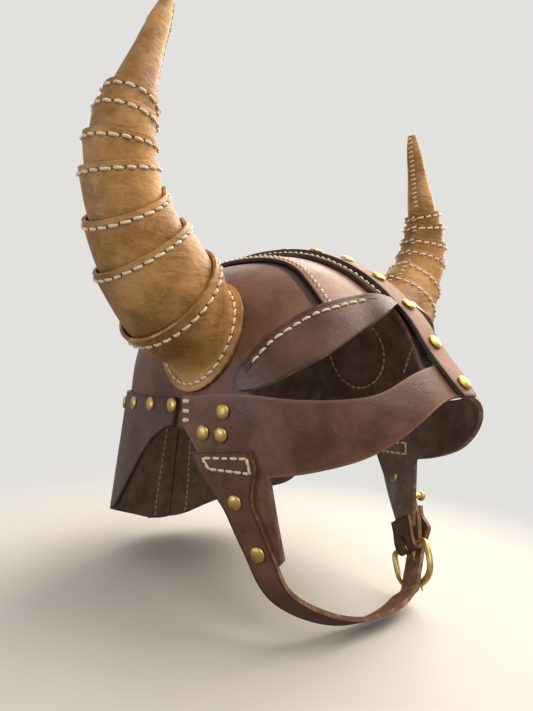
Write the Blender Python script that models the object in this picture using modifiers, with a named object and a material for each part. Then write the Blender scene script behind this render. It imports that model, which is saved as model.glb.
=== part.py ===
"""Horned leather helmet, laid up from flat-cut leather pieces over one head form.

The helmet faces -Y, up is +Z and the wearer's right is -X.  The origin is the
centre of the head opening, level with its rim.  Lengths are in metres.
Each leather piece is a sheet laid on the form at a whole number of leather
layers, and thickened outwards by the thickness of the hide.
"""

import math

import bmesh
import bpy
from mathutils import Matrix, Vector

for old in list(bpy.data.objects):
    bpy.data.objects.remove(old, do_unlink=True)

# Leather and the gap that neighbouring layers keep
HIDE = 0.0028
LAYER_GAP = 0.0004
SEAM_GAP = 0.0006
HORN_HIDE = 0.0024
HORN_GAP = 0.0005

# Head form: half width, reaches from its middle, height, and how its corners fill out
HALF_WIDTH = 0.0845
FRONT_REACH = 0.125
BACK_REACH = 0.115
CROWN_HEIGHT = 0.101
FORM_MIDDLE = 0.014
HEART_HEIGHT = 0.020
PLAN_POWER_FRONT = 2.0
PLAN_POWER_BACK = 2.7
RISE_POWER_FRONT = 2.0
RISE_POWER_BACK = 2.4
RISE_POWER_SIDE = 2.6

# The nose of the form sweeps forward below the brows
BEAK_REACH = 0.026
BEAK_TOP = 0.068
BEAK_FOOT = 0.014
BEAK_POWER = 1.2

# Below the rim the cheeks draw in and the neck flares out, per length of drop
CHEEK_DRAW = 0.106
NECK_FLARE = 0.077
CHEEK_BACK = -0.040
NECK_FRONT = 0.020

# Drops below the rim
SIDE_DROP = 0.014
GUARD_DROP = 0.113
CHEEK_DROP = 0.033
TAB_DROP = 0.086

# Crest and ridge
CREST_WIDTH = 0.0185
RIDGE_WIDTH = 0.0285
RIDGE_TAIL_WIDTH = 0.0390
RIVET_COUNT = 15
RIVET_START = 0.0110
RIVET_TAIL = 0.0694

# Rivet caps
CAP_RADIUS = 0.0046
CAP_EDGE = 0.0008
CAP_CROWN = 0.0022
CAP_SEAT = 0.00035
CAP_SHOULDER_SHARE = 0.62
CAP_SIDES = 12

# Horns
HORN_OUT = 0.066
HORN_RISE = 0.1865
HORN_SWEEP = 0.010
HORN_BASE_RADIUS = 0.0363
HORN_TIP_RADIUS = 0.0036
HORN_NEST = 0.007
HORN_TUCK = 0.0016
FLANGE_WIDTH = 0.070
FLANGE_HEIGHT = 0.076
FLANGE_MARGIN = 0.007
HORN_SIDES = 24
FLARE_ROWS = 6
FLANGE_ROWS = 2
FLARE_NECK_SHARE = 0.45
FLARE_SPREAD_SHARE = 0.25
TIP_ROWS = 5

# Chin strap, from the width of its head to that of its free part
HEAD_WIDTH = 0.043
HEAD_TAPER = 0.92
NECK_WIDTH = 0.0205
STRAP_WIDTH = 0.0172
RIVET_WIDTH = 0.0240
LEG_WIDTH = 0.0195
LEG_OPEN = 0.0006
CHIN_DROP = 0.126
STRAP_CLEAR = 0.0005
STRAP_UNDER = 0.0015
STRAP_UNDER_SHARES = ((1.15, 1.15), (0.90, 1.0))
STRAP_RISE_SHARE = 0.5

# Buckle: heel bar, frame of thicker wire, and a prong hooped round the bar
BAR_RADIUS = 0.0015
BAR_CLEAR = 0.00010
HOOP_CLEAR = 0.00006
BAR_DROP = 0.0125
LEG_NECK_SHARE = 0.45
LEG_END_SHARE = 0.60
LEG_TURN_CELLS = 8
FRAME_RADIUS = 0.0024
FRAME_LENGTH = 0.0270
FRAME_HALF_WIDTH = 0.0180
FRAME_CORNER = 0.0035
FRAME_SIDE_SHARE = 0.48
FRAME_NECK_SHARE = 0.85
FRAME_CHAMFER_SHARE = 0.30
FRAME_BOW_POWER = 0.8
FRAME_BOW_KNOTS = 9
PRONG_RADIUS = 0.0011
PRONG_OVER = 0.0035
PRONG_REST = 0.0003
HOOP_TURNS = 14
HOOP_SHARE = 0.72
PRONG_MIDDLE_SHARE = 0.5
PRONG_POINT_SHARE = 0.7
TUBE_QUARTER = 2
SLOT_WIDTH = 0.0040
SLOT_REACH = 0.0062
HOLE_START = 0.0012
HOLE_END = 0.0165

# Keeper stud that buttons through the end of the strap
STUD_NECK_RADIUS = 0.0021
STUD_HEAD_RADIUS = 0.0038
STUD_NECK_END = 0.0042
STUD_HEAD_END = 0.0078
STUD_ROUND = 0.0010
STUD_HOLE_RADIUS = 0.0027
STUD_SIDES = 16

# How finely sheets are divided and points are sought
CELL = 0.0105
NARROW_CELL = 0.0075
PROBE = 0.00001
SEEK_STEPS = 44
SEEK_REACH = 0.40
WELD = 0.00001

RIGHT = -1
LEFT = 1

parts = bpy.data.collections.new("horned_leather_helmet")
bpy.context.scene.collection.children.link(parts)
cutters = bpy.data.collections.new("cutters")
bpy.context.scene.collection.children.link(cutters)


def finish(name, colour, roughness, metallic=0.0):
    """A plain Principled material."""
    made = bpy.data.materials.new(name)
    made.use_nodes = True
    shader = made.node_tree.nodes["Principled BSDF"]
    shader.inputs["Base Color"].default_value = (*colour, 1.0)
    shader.inputs["Roughness"].default_value = roughness
    shader.inputs["Metallic"].default_value = metallic
    return made


HELMET_LEATHER = finish("chestnut_leather", (0.105, 0.042, 0.028), 0.45)
CROWN_LEATHER = finish("polished_chestnut_leather", (0.170, 0.080, 0.055), 0.35)
HORN_LEATHER = finish("tan_leather", (0.330, 0.190, 0.080), 0.50)
BRASS = finish("antique_brass", (0.480, 0.330, 0.130), 0.35, 1.0)


# The head form
HEART = Vector((0, FORM_MIDDLE, HEART_HEIGHT))


def eased(share):
    """Smooth step from 0 to 1."""
    share = min(max(share, 0), 1)
    return share * share * (3 - 2 * share)


def form_value(point):
    """Negative inside the head form, zero on it, positive outside."""
    along = point.y - FORM_MIDDLE
    if along < 0:
        sunk = min(max((BEAK_TOP - point.z) / (BEAK_TOP - BEAK_FOOT), 0), 1)
        reach = FRONT_REACH + BEAK_REACH * sunk ** BEAK_POWER
        plan_power = PLAN_POWER_FRONT
        rise_power = RISE_POWER_FRONT
    else:
        reach = BACK_REACH
        plan_power = PLAN_POWER_BACK
        rise_power = RISE_POWER_BACK
    half_width = HALF_WIDTH
    if point.z < 0:
        neck = eased((point.y - CHEEK_BACK) / (NECK_FRONT - CHEEK_BACK))
        draw = (1 - neck) * CHEEK_DRAW * point.z / HALF_WIDTH
        flare = neck * NECK_FLARE * point.z / HALF_WIDTH
        half_width *= 1 + draw - flare
        reach *= 1 + draw - flare / 2
    sideways = abs(point.x / half_width) ** plan_power
    lengthways = abs(along / reach) ** plan_power
    plan = sideways + lengthways
    if plan == 0:
        return (max(point.z, 0) / CROWN_HEIGHT) ** rise_power - 1
    rise_power += (RISE_POWER_SIDE - rise_power) * sideways / plan
    height = (max(point.z, 0) / CROWN_HEIGHT) ** rise_power
    return plan ** (rise_power / plan_power) + height - 1


def outward(point):
    """Unit normal of the form at a point on it."""
    slopes = []
    for axis in range(3):
        step = Vector((0, 0, 0))
        step[axis] = PROBE
        slopes.append(form_value(point + step) - form_value(point - step))
    return Vector(slopes).normalized()


def on_form(toward, lift=0):
    """Point `lift` above the form, outwards from its heart, or level below the heart."""
    start = Vector((0, FORM_MIDDLE, min(HEART_HEIGHT, toward.z)))
    line = (toward - start).normalized()
    inside = 0
    outside = SEEK_REACH
    for _ in range(SEEK_STEPS):
        middle = (inside + outside) / 2
        if form_value(start + line * middle) < 0:
            inside = middle
        else:
            outside = middle
    point = start + line * inside
    if lift == 0:
        return point
    return point + line * (lift / line.dot(outward(point)))


def level(layers):
    """Lift of the inner face of a piece that lies over `layers` layers of hide."""
    return layers * (HIDE + LAYER_GAP)


def spot(across, along, up, drop=CROWN_HEIGHT):
    """A place from shares of the half width, of the reaches and of a height or drop."""
    reach = FRONT_REACH if along < 0 else BACK_REACH
    height = up * (CROWN_HEIGHT if up > 0 else drop)
    return Vector((across * HALF_WIDTH, FORM_MIDDLE + along * reach, height))


def spots(share_rows, drop=CROWN_HEIGHT):
    return [spot(*row, drop=drop) for row in share_rows]


def curved(stops, part, share):
    """Point at a share of the way from one stop to the next, on a smooth curve through all."""
    start, end = stops[part], stops[part + 1]
    before = stops[part - 1] if part > 0 else start * 2 - end
    after = stops[part + 2] if part + 2 < len(stops) else end * 2 - start
    span = (end - start).length
    pace = (end - start) / span
    leave = (pace + (start - before) / (start - before).length) * span / 2
    arrive = (pace + (after - end) / (after - end).length) * span / 2
    square = share * share
    cube = square * share
    return (
        start * (2 * cube - 3 * square + 1)
        + leave * (cube - 2 * square + share)
        + end * (3 * square - 2 * cube)
        + arrive * (cube - square)
    )


def path_length(stops):
    return sum((second - first).length for first, second in zip(stops, stops[1:]))


def part_of(stops, share):
    """Which part of a path holds a share of its length, and the share of that part."""
    place = min(max(share, 0), 1) * path_length(stops)
    part = 0
    while part < len(stops) - 2 and place > (stops[part + 1] - stops[part]).length:
        place -= (stops[part + 1] - stops[part]).length
        part += 1
    return part, place / (stops[part + 1] - stops[part]).length


def smooth(stops, share):
    """Point at a share of the length of a smooth curve through all the stops."""
    return curved(stops, *part_of(stops, share))


def stepped(stops, share):
    """Value at a share of the way, eased between (share, value) stops."""
    for (low, low_value), (high, high_value) in zip(stops, stops[1:]):
        if share <= high:
            return low_value + (high_value - low_value) * eased((share - low) / (high - low))
    return stops[-1][1]


def between(start, end, share):
    """Direction from the heart between two places, turned evenly from one to the other."""
    first = start - HEART
    second = end - HEART
    turned = first.normalized().slerp(second.normalized(), share)
    return HEART + turned * (first.length + (second.length - first.length) * share)


def strip(upper, lower, lift):
    """Place function of a sheet between two edges on the form."""
    def place(u, v):
        toward = between(smooth(upper, u), smooth(lower, u), v)
        return on_form(toward, lift(u, v) if callable(lift) else lift)
    return place


def add_part(name, mesh, material):
    made = bpy.data.objects.new(name, mesh)
    made.data.materials.append(material)
    parts.objects.link(made)
    return made


def lay_sheet(name, patches, thickness, material, side=RIGHT):
    """A leather sheet: grids of cells moved to their places, joined and thickened outwards.

    Each patch is (columns, rows, place), where place(u, v) gives a point of the
    inner face of the right-hand piece; the left-hand piece is its reflection.
    """
    mesh = bpy.data.meshes.new(name)
    sheet = bmesh.new()
    for columns, rows, place in patches:
        grid = bmesh.ops.create_grid(sheet, x_segments=columns, y_segments=rows, size=1)
        for vertex in grid["verts"]:
            vertex.co = place((vertex.co.x + 1) / 2, (vertex.co.y + 1) / 2)
    bmesh.ops.remove_doubles(sheet, verts=sheet.verts, dist=WELD)
    if side == LEFT:
        for vertex in sheet.verts:
            vertex.co.x = -vertex.co.x
        bmesh.ops.reverse_faces(sheet, faces=sheet.faces)
    for face in sheet.faces:
        face.smooth = True
    sheet.to_mesh(mesh)
    sheet.free()
    made = add_part(name, mesh, material)
    wall = made.modifiers.new("hide", "SOLIDIFY")
    wall.thickness = thickness
    wall.offset = 1
    wall.use_even_offset = True
    made.modifiers.new("shading", "WEIGHTED_NORMAL")
    return made


def cells(length, size=CELL):
    return max(round(length / size), 1)


def side_name(side):
    return "right" if side == RIGHT else "left"


# Side panels: the two halves of the dome, butted along the middle
SIDE_TOP_SHARES = (
    (0, -0.74, 0.70), (0, -0.64, 0.78), (0, -0.45, 0.90), (0, -0.10, 1.0),
    (0, 0.45, 0.93), (0, 0.80, 0.68), (0, 0.97, 0.35), (0, 1.0, -1.0),
)
SIDE_RIM_SHARES = (
    (-0.13, -0.765, 0.69), (-0.38, -0.80, 0.60), (-0.58, -0.79, 0.49), (-0.73, -0.75, 0.39),
    (-0.87, -0.64, 0.28), (-0.96, -0.51, 0.18), (-1.0, -0.45, 0.02), (-1.0, -0.34, -0.70),
    (-1.0, -0.10, -0.95), (-1.0, 0.12, -1.0), (-0.93, 0.55, -1.0), (-0.70, 0.86, -1.0),
    (-0.35, 0.99, -1.0), (0, 1.0, -1.0),
)


def side_panel(side):
    top = spots(SIDE_TOP_SHARES, SIDE_DROP)
    rim = spots(SIDE_RIM_SHARES, SIDE_DROP)
    laid = strip(top, rim, level(0))

    def place(u, v):
        point = laid(u, v)
        point.x = min(point.x, -SEAM_GAP / 2)
        return point

    columns = cells(path_length(rim))
    rows = cells(HALF_WIDTH + CROWN_HEIGHT / 2)
    return lay_sheet(f"side_panel_{side_name(side)}", [(columns, rows, place)], HIDE,
                     HELMET_LEATHER, side)


# Top panels: a second layer on each side of the ridge, from the brow to the back rim
TOP_INNER_SHARES = (
    (-0.075, -0.775, 0.70), (-0.075, -0.45, 0.90), (-0.075, -0.10, 1.0), (-0.075, 0.45, 0.93),
    (-0.075, 0.80, 0.68), (-0.075, 0.97, 0.35), (-0.075, 1.0, 0.09),
)
TOP_OUTER_SHARES = (
    (-0.57, -0.67, 0.62), (-0.53, -0.51, 0.80), (-0.46, -0.35, 0.92), (-0.42, -0.12, 0.99),
    (-0.42, 0.30, 0.95), (-0.50, 0.72, 0.70), (-0.50, 0.90, 0.35), (-0.47, 0.96, 0.09),
)


def top_panel(side):
    inner = spots(TOP_INNER_SHARES)
    outer = spots(TOP_OUTER_SHARES)
    columns = cells(path_length(inner))
    rows = cells(HALF_WIDTH / 2)
    return lay_sheet(f"top_panel_{side_name(side)}",
                     [(columns, rows, strip(inner, outer, level(1)))], HIDE,
                     CROWN_LEATHER, side)


# Brows: crescents over the eyes, from the temple up to the crest
BROW_UPPER_SHARES = (
    (-0.123, -0.807, 0.75), (-0.20, -0.782, 0.764), (-0.30, -0.742, 0.754), (-0.42, -0.717, 0.733),
    (-0.58, -0.677, 0.681), (-0.68, -0.632, 0.642), (-0.80, -0.576, 0.567), (-0.90, -0.51, 0.474),
    (-0.965, -0.455, 0.36), (-1.0, -0.39, 0.23), (-1.0, -0.40, 0.18),
)
BROW_LOWER_SHARES = (
    (-0.123, -0.837, 0.704), (-0.22, -0.852, 0.665), (-0.34, -0.858, 0.605), (-0.46, -0.853, 0.553),
    (-0.61, -0.834, 0.468), (-0.74, -0.78, 0.371), (-0.85, -0.70, 0.29), (-0.93, -0.605, 0.208),
    (-0.985, -0.49, 0.155), (-1.01, -0.43, 0.145),
)
BROW_UPPER_LEVELS = ((0, 3), (0.09, 3), (0.20, 2), (0.44, 2), (0.56, 1), (1, 1))
BROW_LOWER_LEVELS = ((0, 3), (0.09, 3), (0.25, 1), (1, 1))


def brow(side):
    upper = spots(BROW_UPPER_SHARES)
    lower = spots(BROW_LOWER_SHARES)

    def lift(u, v):
        high = stepped(BROW_UPPER_LEVELS, u)
        low = stepped(BROW_LOWER_LEVELS, u)
        return level(high + (low - high) * v * v)

    columns = cells(path_length(lower), NARROW_CELL)
    rows = cells(CROWN_HEIGHT / 4, NARROW_CELL)
    return lay_sheet(f"brow_{side_name(side)}", [(columns, rows, strip(upper, lower, lift))],
                     HIDE, HELMET_LEATHER, side)


# Face mask: one band from ear to ear under the eyes, with a tab down each cheek
MASK_TOP_SHARES = (
    (-0.11, -1.065, 0.358), (-0.26, -1.06, 0.328), (-0.37, -1.05, 0.289), (-0.46, -1.035, 0.247),
    (-0.555, -1.01, 0.195), (-0.70, -0.908, 0.158), (-0.80, -0.80, 0.141), (-0.91, -0.65, 0.13),
    (-0.98, -0.50, 0.135), (-1.03, -0.35, 0.12), (-1.07, -0.06, 0.07),
)
MASK_FOOT_SHARES = (
    (-0.09, -1.183, 0.203), (-0.17, -1.181, 0.19), (-0.245, -1.177, 0.168), (-0.34, -1.16, 0.113),
    (-0.45, -1.12, 0.017), (-0.525, -1.07, -0.18), (-0.61, -0.99, -0.42), (-0.72, -0.87, -0.64), (-0.83, -0.71, -0.85), (-0.92, -0.53, -1.0),
    (-0.99, -0.36, -1.05), (-1.03, -0.22, -0.86), (-1.06, -0.14, -0.50), (-1.07, -0.08, -0.33),
)
NOSE_TOP_SHARES = (0, -1.065, 0.37)
NOSE_FOOT_SHARES = (0, -1.184, 0.206)
TAB_END_SHARES = (
    (-0.815, -0.69, -0.90), (-0.835, -0.665, -0.96), (-0.86, -0.61, -0.985),
    (-0.875, -0.56, -0.98), (-0.895, -0.52, -0.90),
)
MASK_LEVELS = ((0, 0.20), (0.25, 0.20), (0.72, 1), (1, 1))
TAB_FIRST_COLUMN_SHARE = 0.655
TAB_LAST_COLUMN_SHARE = 0.83


def mirrored(places):
    return [Vector((-place.x, place.y, place.z)) for place in reversed(places)]


def mask_lift(u):
    """Lift of the mask at a share of its run, from the left ear over the nose to the right."""
    return level(stepped(MASK_LEVELS, abs(2 * u - 1)))


def face_mask():
    right_top = spots(MASK_TOP_SHARES, CHEEK_DROP)
    right_foot = spots(MASK_FOOT_SHARES, CHEEK_DROP)
    top = mirrored(right_top) + [spot(*NOSE_TOP_SHARES)] + right_top
    foot = mirrored(right_foot) + [spot(*NOSE_FOOT_SHARES)] + right_foot
    half_columns = cells(path_length(right_foot))
    columns = 2 * half_columns
    rows = cells(CHEEK_DROP + CROWN_HEIGHT / 10)

    def band(u, v):
        toward = between(smooth(top, u), smooth(foot, u), v)
        return on_form(toward, mask_lift(u))

    first = round(half_columns * TAB_FIRST_COLUMN_SHARE)
    last = round(half_columns * TAB_LAST_COLUMN_SHARE)
    tab_columns = last - first
    tab_rows = cells(TAB_DROP - CHEEK_DROP)
    end = spots(TAB_END_SHARES, TAB_DROP)

    def right_tab(u, v):
        share = (half_columns + first + u * tab_columns) / columns
        if v == 0:
            return band(share, 1)
        return on_form(between(smooth(foot, share), smooth(end, u), v), mask_lift(share))

    def left_tab(u, v):
        point = right_tab(1 - u, v)
        return Vector((-point.x, point.y, point.z))

    return lay_sheet("face_mask", [
        (columns, rows, band),
        (tab_columns, tab_rows, right_tab),
        (tab_columns, tab_rows, left_tab),
    ], HIDE, HELMET_LEATHER)


# Neck guard: two flaps under the rim, butted at the back under the ridge
GUARD_TOP_SHARES = (
    (-1.07, 0.0, 0.055), (-1.06, 0.27, 0.035), (-0.96, 0.63, 0.02), (-0.60, 0.93, 0.01),
    (-0.25, 1.0, 0.005), (0, 1.0, 0.005),
)
GUARD_FOOT_SHARES = (
    (-1.08, 0.0, -0.11), (-1.08, 0.10, -0.145), (-1.08, 0.20, -0.22), (-1.08, 0.27, -0.30),
    (-1.08, 0.33, -0.39), (-1.08, 0.40, -0.48), (-1.07, 0.47, -0.58), (-1.04, 0.60, -0.71),
    (-1.0, 0.68, -0.74), (-0.80, 0.86, -0.82), (-0.45, 1.03, -0.93), (-0.17, 1.08, -1.0),
    (0, 1.08, -1.0),
)


def guard_flap(side):
    top = spots(GUARD_TOP_SHARES, GUARD_DROP)
    foot = spots(GUARD_FOOT_SHARES, GUARD_DROP)
    laid = strip(top, foot, level(1))

    def place(u, v):
        point = laid(u, v)
        point.x = min(point.x, -SEAM_GAP / 2)
        return point

    columns = cells(path_length(foot))
    rows = cells(GUARD_DROP)
    return lay_sheet(f"neck_guard_{side_name(side)}", [(columns, rows, place)], HIDE,
                     HELMET_LEATHER, side)


# Ridge base and crest strap: from the nose over the crown and down the neck guard
RIDGE_LINE_SHARES = (
    (0, -1.09, 0.275), (0, -0.98, 0.42), (0, -0.91, 0.53), (0, -0.82, 0.62),
    (0, -0.64, 0.78), (0, -0.40, 0.92), (0, -0.10, 1.0), (0, 0.20, 0.99), (0, 0.50, 0.90), (0, 0.80, 0.68), (0, 0.97, 0.35),
    (0, 1.0, 0.0), (0, 1.03, -0.35), (0, 1.06, -0.70), (0, 1.10, -1.0),
)
RIDGE_WIDTH_SHARES = (
    (0, 1.22), (0.035, 1.08), (0.075, 0.72), (0.120, 0.70), (0.165, 1.0), (0.75, 1.0),
    (1, RIDGE_TAIL_WIDTH / RIDGE_WIDTH),
)
RIDGE_LEVELS = ((0, -0.80), (0.028, -0.80), (0.060, 0.30), (0.125, 1.95), (0.150, 2), (1, 2))
CREST_FRONT_SHARES = ((0, -1.19, 0.205), (0, -1.08, 0.33))
CREST_LEVELS = ((0, 1.15), (0.062, 1.15), (0.150, 2.95), (0.170, 3.02), (1, 3.02))
STRAP_END_SHARE = 0.72


def middle_strip(name, line, half_width, level_stops, material):
    """A strip that runs along the middle of the form, with its width square to it."""
    def place(u, v):
        point = smooth(line, u)
        across = half_width(u) * (1 - 2 * v)
        toward = point + Vector((across, 0, 0))
        laid = on_form(toward, level(stepped(level_stops, u)))
        return laid

    columns = cells(path_length(line))
    return lay_sheet(name, [(columns, 2, place)], HIDE, material)


def ridge_base():
    line = spots(RIDGE_LINE_SHARES, GUARD_DROP)

    def half_width(u):
        return RIDGE_WIDTH / 2 * stepped(RIDGE_WIDTH_SHARES, u)

    return middle_strip("ridge_base", line, half_width, RIDGE_LEVELS, HELMET_LEATHER)


def crest_line():
    front = spots(CREST_FRONT_SHARES)
    return front + spots(RIDGE_LINE_SHARES[2:], GUARD_DROP)


def crest_strap():
    line = crest_line()
    round_off = CREST_WIDTH / path_length(line) / 2

    def half_width(u):
        ends = min(u, 1 - u)
        if ends >= round_off:
            return CREST_WIDTH / 2
        left = 1 - ends / round_off
        return CREST_WIDTH / 2 * (STRAP_END_SHARE + (1 - STRAP_END_SHARE) * math.sqrt(1 - left * left))

    return middle_strip("crest_strap", line, half_width, CREST_LEVELS, CROWN_LEATHER)


# Horns: a stitched flare on the side, six nested sleeves and a tip
HORN_SPOT_SHARES = (-1.0, -0.075, 0.475)
HORN_LINE_SHARES = (
    (0, -0.40, 0), (0.50, -0.56, 0.118), (0.79, -0.46, 0.243), (0.99, -0.76, 0.350),
    (1.07, -0.86, 0.461), (1.08, -0.96, 0.539), (1.045, -0.96, 0.616), (1.005, -0.86, 0.668),
    (0.71, -0.56, 1.0),
)
HORN_RADIUS_SHARES = (1.0, 0.84, 0.672, 0.600, 0.556, 0.480, 0.430)
SLEEVE_COUNT = 6


def horn_line():
    foot = on_form(spot(*HORN_SPOT_SHARES))
    line = []
    for out, back, up in HORN_LINE_SHARES:
        line.append(foot + Vector((-out * HORN_OUT, back * HORN_SWEEP, up * HORN_RISE)))
    return line


def ring(middle, axis, radius):
    """Point function of a circle about an axis, from its front round over the top."""
    front = Vector((0, -1, 0))
    front = (front - axis * front.dot(axis)).normalized()
    above = front.cross(axis)

    def point(turn):
        angle = 2 * math.pi * turn
        return middle + (front * math.cos(angle) + above * math.sin(angle)) * radius
    return point


def horn_axis(line, number):
    """Direction a piece of the horn points in: its rim is square to it."""
    return (line[number + 1] - line[number]).normalized()


def horn_flare(side):
    line = horn_line()
    axis = horn_axis(line, 0)
    rim = ring(line[1], axis, HORN_BASE_RADIUS - HORN_HIDE)
    foot = on_form(spot(*HORN_SPOT_SHARES))
    normal = outward(foot)
    front = Vector((0, -1, 0))
    front = (front - normal * front.dot(normal)).normalized()
    above = front.cross(normal)

    def flange(turn, margin):
        angle = 2 * math.pi * turn
        wide = front * math.cos(angle) * (FLANGE_WIDTH / 2 - margin)
        tall = above * math.sin(angle) * (FLANGE_HEIGHT / 2 - margin)
        return on_form(foot + wide + tall, level(1))

    rows = round(FLARE_ROWS + FLANGE_ROWS)
    foot_share = FLARE_ROWS / rows

    def place(u, v):
        if v >= foot_share:
            return flange(u, FLANGE_MARGIN * (1 - v) / (1 - foot_share))
        reach = v / foot_share
        start = rim(u)
        end = flange(u, FLANGE_MARGIN)
        inward = (end - flange(u, 0)).normalized()
        span = (end - start).length
        first = start - axis * span * FLARE_NECK_SHARE
        second = end + inward * span * FLARE_SPREAD_SHARE
        rest = 1 - reach
        return (
            start * rest ** 3 + first * 3 * rest * rest * reach
            + second * 3 * rest * reach * reach + end * reach ** 3
        )

    return lay_sheet(f"horn_base_{side_name(side)}", [(HORN_SIDES, rows, place)], HORN_HIDE,
                     HORN_LEATHER, side)


def horn_sleeve(side, number):
    line = horn_line()
    under = horn_axis(line, number - 1)
    low_radius = HORN_BASE_RADIUS * HORN_RADIUS_SHARES[number - 1] - HORN_HIDE * 2 - HORN_GAP
    high_radius = HORN_BASE_RADIUS * HORN_RADIUS_SHARES[number] - HORN_HIDE
    steps = (
        ring(line[number + 1], horn_axis(line, number), high_radius),
        ring(line[number], under, low_radius),
        ring(line[number] - under * HORN_NEST, under, low_radius - HORN_TUCK),
    )

    def place(u, v):
        return steps[round(v * (len(steps) - 1))](u)

    return lay_sheet(f"horn_sleeve_{number}_{side_name(side)}",
                     [(HORN_SIDES, len(steps) - 1, place)], HORN_HIDE, HORN_LEATHER, side)


def horn_tip(side):
    line = horn_line()
    low, high = line[-2], line[-1]
    under = horn_axis(line, SLEEVE_COUNT)
    axis = horn_axis(line, SLEEVE_COUNT + 1)
    low_radius = HORN_BASE_RADIUS * HORN_RADIUS_SHARES[-1] - HORN_HIDE * 2 - HORN_GAP
    high_radius = HORN_TIP_RADIUS - HORN_HIDE
    steps = [ring(high, axis, 0)]
    for step in range(TIP_ROWS):
        share = step / (TIP_ROWS - 1)
        leaning = axis.lerp(under, share).normalized()
        radius = high_radius + (low_radius - high_radius) * share
        steps.append(ring(high.lerp(low, share) - axis * PROBE * (1 - share), leaning, radius))
    steps.append(ring(low - under * HORN_NEST, under, low_radius - HORN_TUCK))

    def place(u, v):
        return steps[round(v * (len(steps) - 1))](u)

    return lay_sheet(f"horn_tip_{side_name(side)}", [(HORN_SIDES, len(steps) - 1, place)],
                     HORN_HIDE, HORN_LEATHER, side)


def rivet(name, seat, normal, radius=CAP_RADIUS):
    """A domed brass cap on the leather, with its axis square to the leather."""
    profile = [
        (0, CAP_CROWN), (radius * CAP_SHOULDER_SHARE, CAP_CROWN * CAP_SHOULDER_SHARE + CAP_EDGE / 2),
        (radius, CAP_EDGE), (radius, 0), (0, 0),
    ]
    return turned(name, profile, seat + normal * CAP_SEAT, normal, CAP_SIDES)


def turned(name, profile, seat, axis, sides):
    """A body turned about an axis, from a profile of (radius, height) points from top to bottom."""
    mesh = bpy.data.meshes.new(name)
    outline = bmesh.new()
    points = [outline.verts.new((radius, 0, height)) for radius, height in profile]
    for first, second in zip(points, points[1:]):
        outline.edges.new((first, second))
    outline.to_mesh(mesh)
    outline.free()
    made = add_part(name, mesh, BRASS)
    made.matrix_world = Matrix.Translation(seat) @ axis.to_track_quat("Z", "Y").to_matrix().to_4x4()
    spin = made.modifiers.new("turn", "SCREW")
    spin.steps = sides
    spin.render_steps = sides
    spin.merge_threshold = WELD
    spin.use_merge_vertices = True
    spin.use_smooth_shade = True
    made.modifiers.new("shading", "WEIGHTED_NORMAL")
    return made


def mirror(vector):
    return Vector((-vector.x, vector.y, vector.z))


# Straps: centre lines down the cheek, then the free chin strap from right to left
CHEEK_LINE_SHARES = (
    (-1.02, -0.345, -0.245), (-0.99, -0.392, -0.375), (-0.977, -0.454, -0.57),
    (-0.937, -0.513, -0.735), (-0.895, -0.569, -0.88), (-0.872, -0.607, -0.98),
)
BUCKLE_LINE_SHARES = (
    (-1.02, -0.345, -0.245), (-0.99, -0.387, -0.375), (-0.975, -0.445, -0.57),
    (-0.925, -0.53, -0.735), (-0.855, -0.635, -0.95),
)
CHIN_LINE_SHARES = (
    (-0.80, -0.637, -0.750), (-0.70, -0.668, -0.805), (-0.567, -0.698, -0.855),
    (-0.396, -0.724, -0.902), (-0.254, -0.739, -0.930), (-0.097, -0.749, -0.949),
    (0.077, -0.754, -0.957), (0.257, -0.751, -0.952), (0.416, -0.742, -0.934),
    (0.550, -0.727, -0.910),
)
CHIN_WIDTH_LINE = Vector((0, 0.876, -0.482))
BILLET_LINE_SHARES = ((-0.93, -0.60, -0.68), (-0.955, -0.575, -0.50))
HEAD_TURNS = (0.30, 0.60)


class Bend:
    """The frame of the buckle end: its bar, and the ways down the strap, outwards and across."""

    def __init__(self):
        places = spots(BUCKLE_LINE_SHARES[-2:], TAB_DROP)
        above, rivet_place = (on_form(place) for place in places)
        self.out = outward(rivet_place)
        down = rivet_place - above
        self.down = (down - self.out * down.dot(self.out)).normalized()
        self.across = self.down.cross(self.out)
        self.lift = level(1) + HIDE / 2
        self.rivet = rivet_place
        self.bar = rivet_place + self.out * self.lift + self.down * BAR_DROP

    def at(self, down, out, across=0):
        return self.bar + self.down * down + self.out * out + self.across * across


BEND = Bend()


def crossways(stops, normals):
    """Width lines at the stops of a strap: square to its run, but nearly level at its head."""
    lines = []
    for number, normal in enumerate(normals):
        run = stops[min(number + 1, len(stops) - 1)] - stops[max(number - 1, 0)]
        line = run.cross(normal).normalized()
        if number < len(HEAD_TURNS):
            line.z *= HEAD_TURNS[number]
        lines.append(line.normalized())
    return lines


def strap_place(stops, lines, widths, lifts):
    """Place function of a strap from its centre stops; lifts are None where it hangs free."""
    rear = []
    front = []
    laid = [lift is not None for lift in lifts]
    for stop, line, width, lift in zip(stops, lines, widths, lifts):
        ends = (stop + line * (width / 2), stop - line * (width / 2))
        if lift is not None:
            ends = [on_form(end, lift) for end in ends]
        rear.append(ends[0])
        front.append(ends[1])

    def place(u, v):
        part, share = part_of(stops, u)
        point = curved(rear, part, share).lerp(curved(front, part, share), v)
        if laid[part] and laid[part + 1]:
            return on_form(point, lifts[part] + (lifts[part + 1] - lifts[part]) * share)
        return point
    return place


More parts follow.
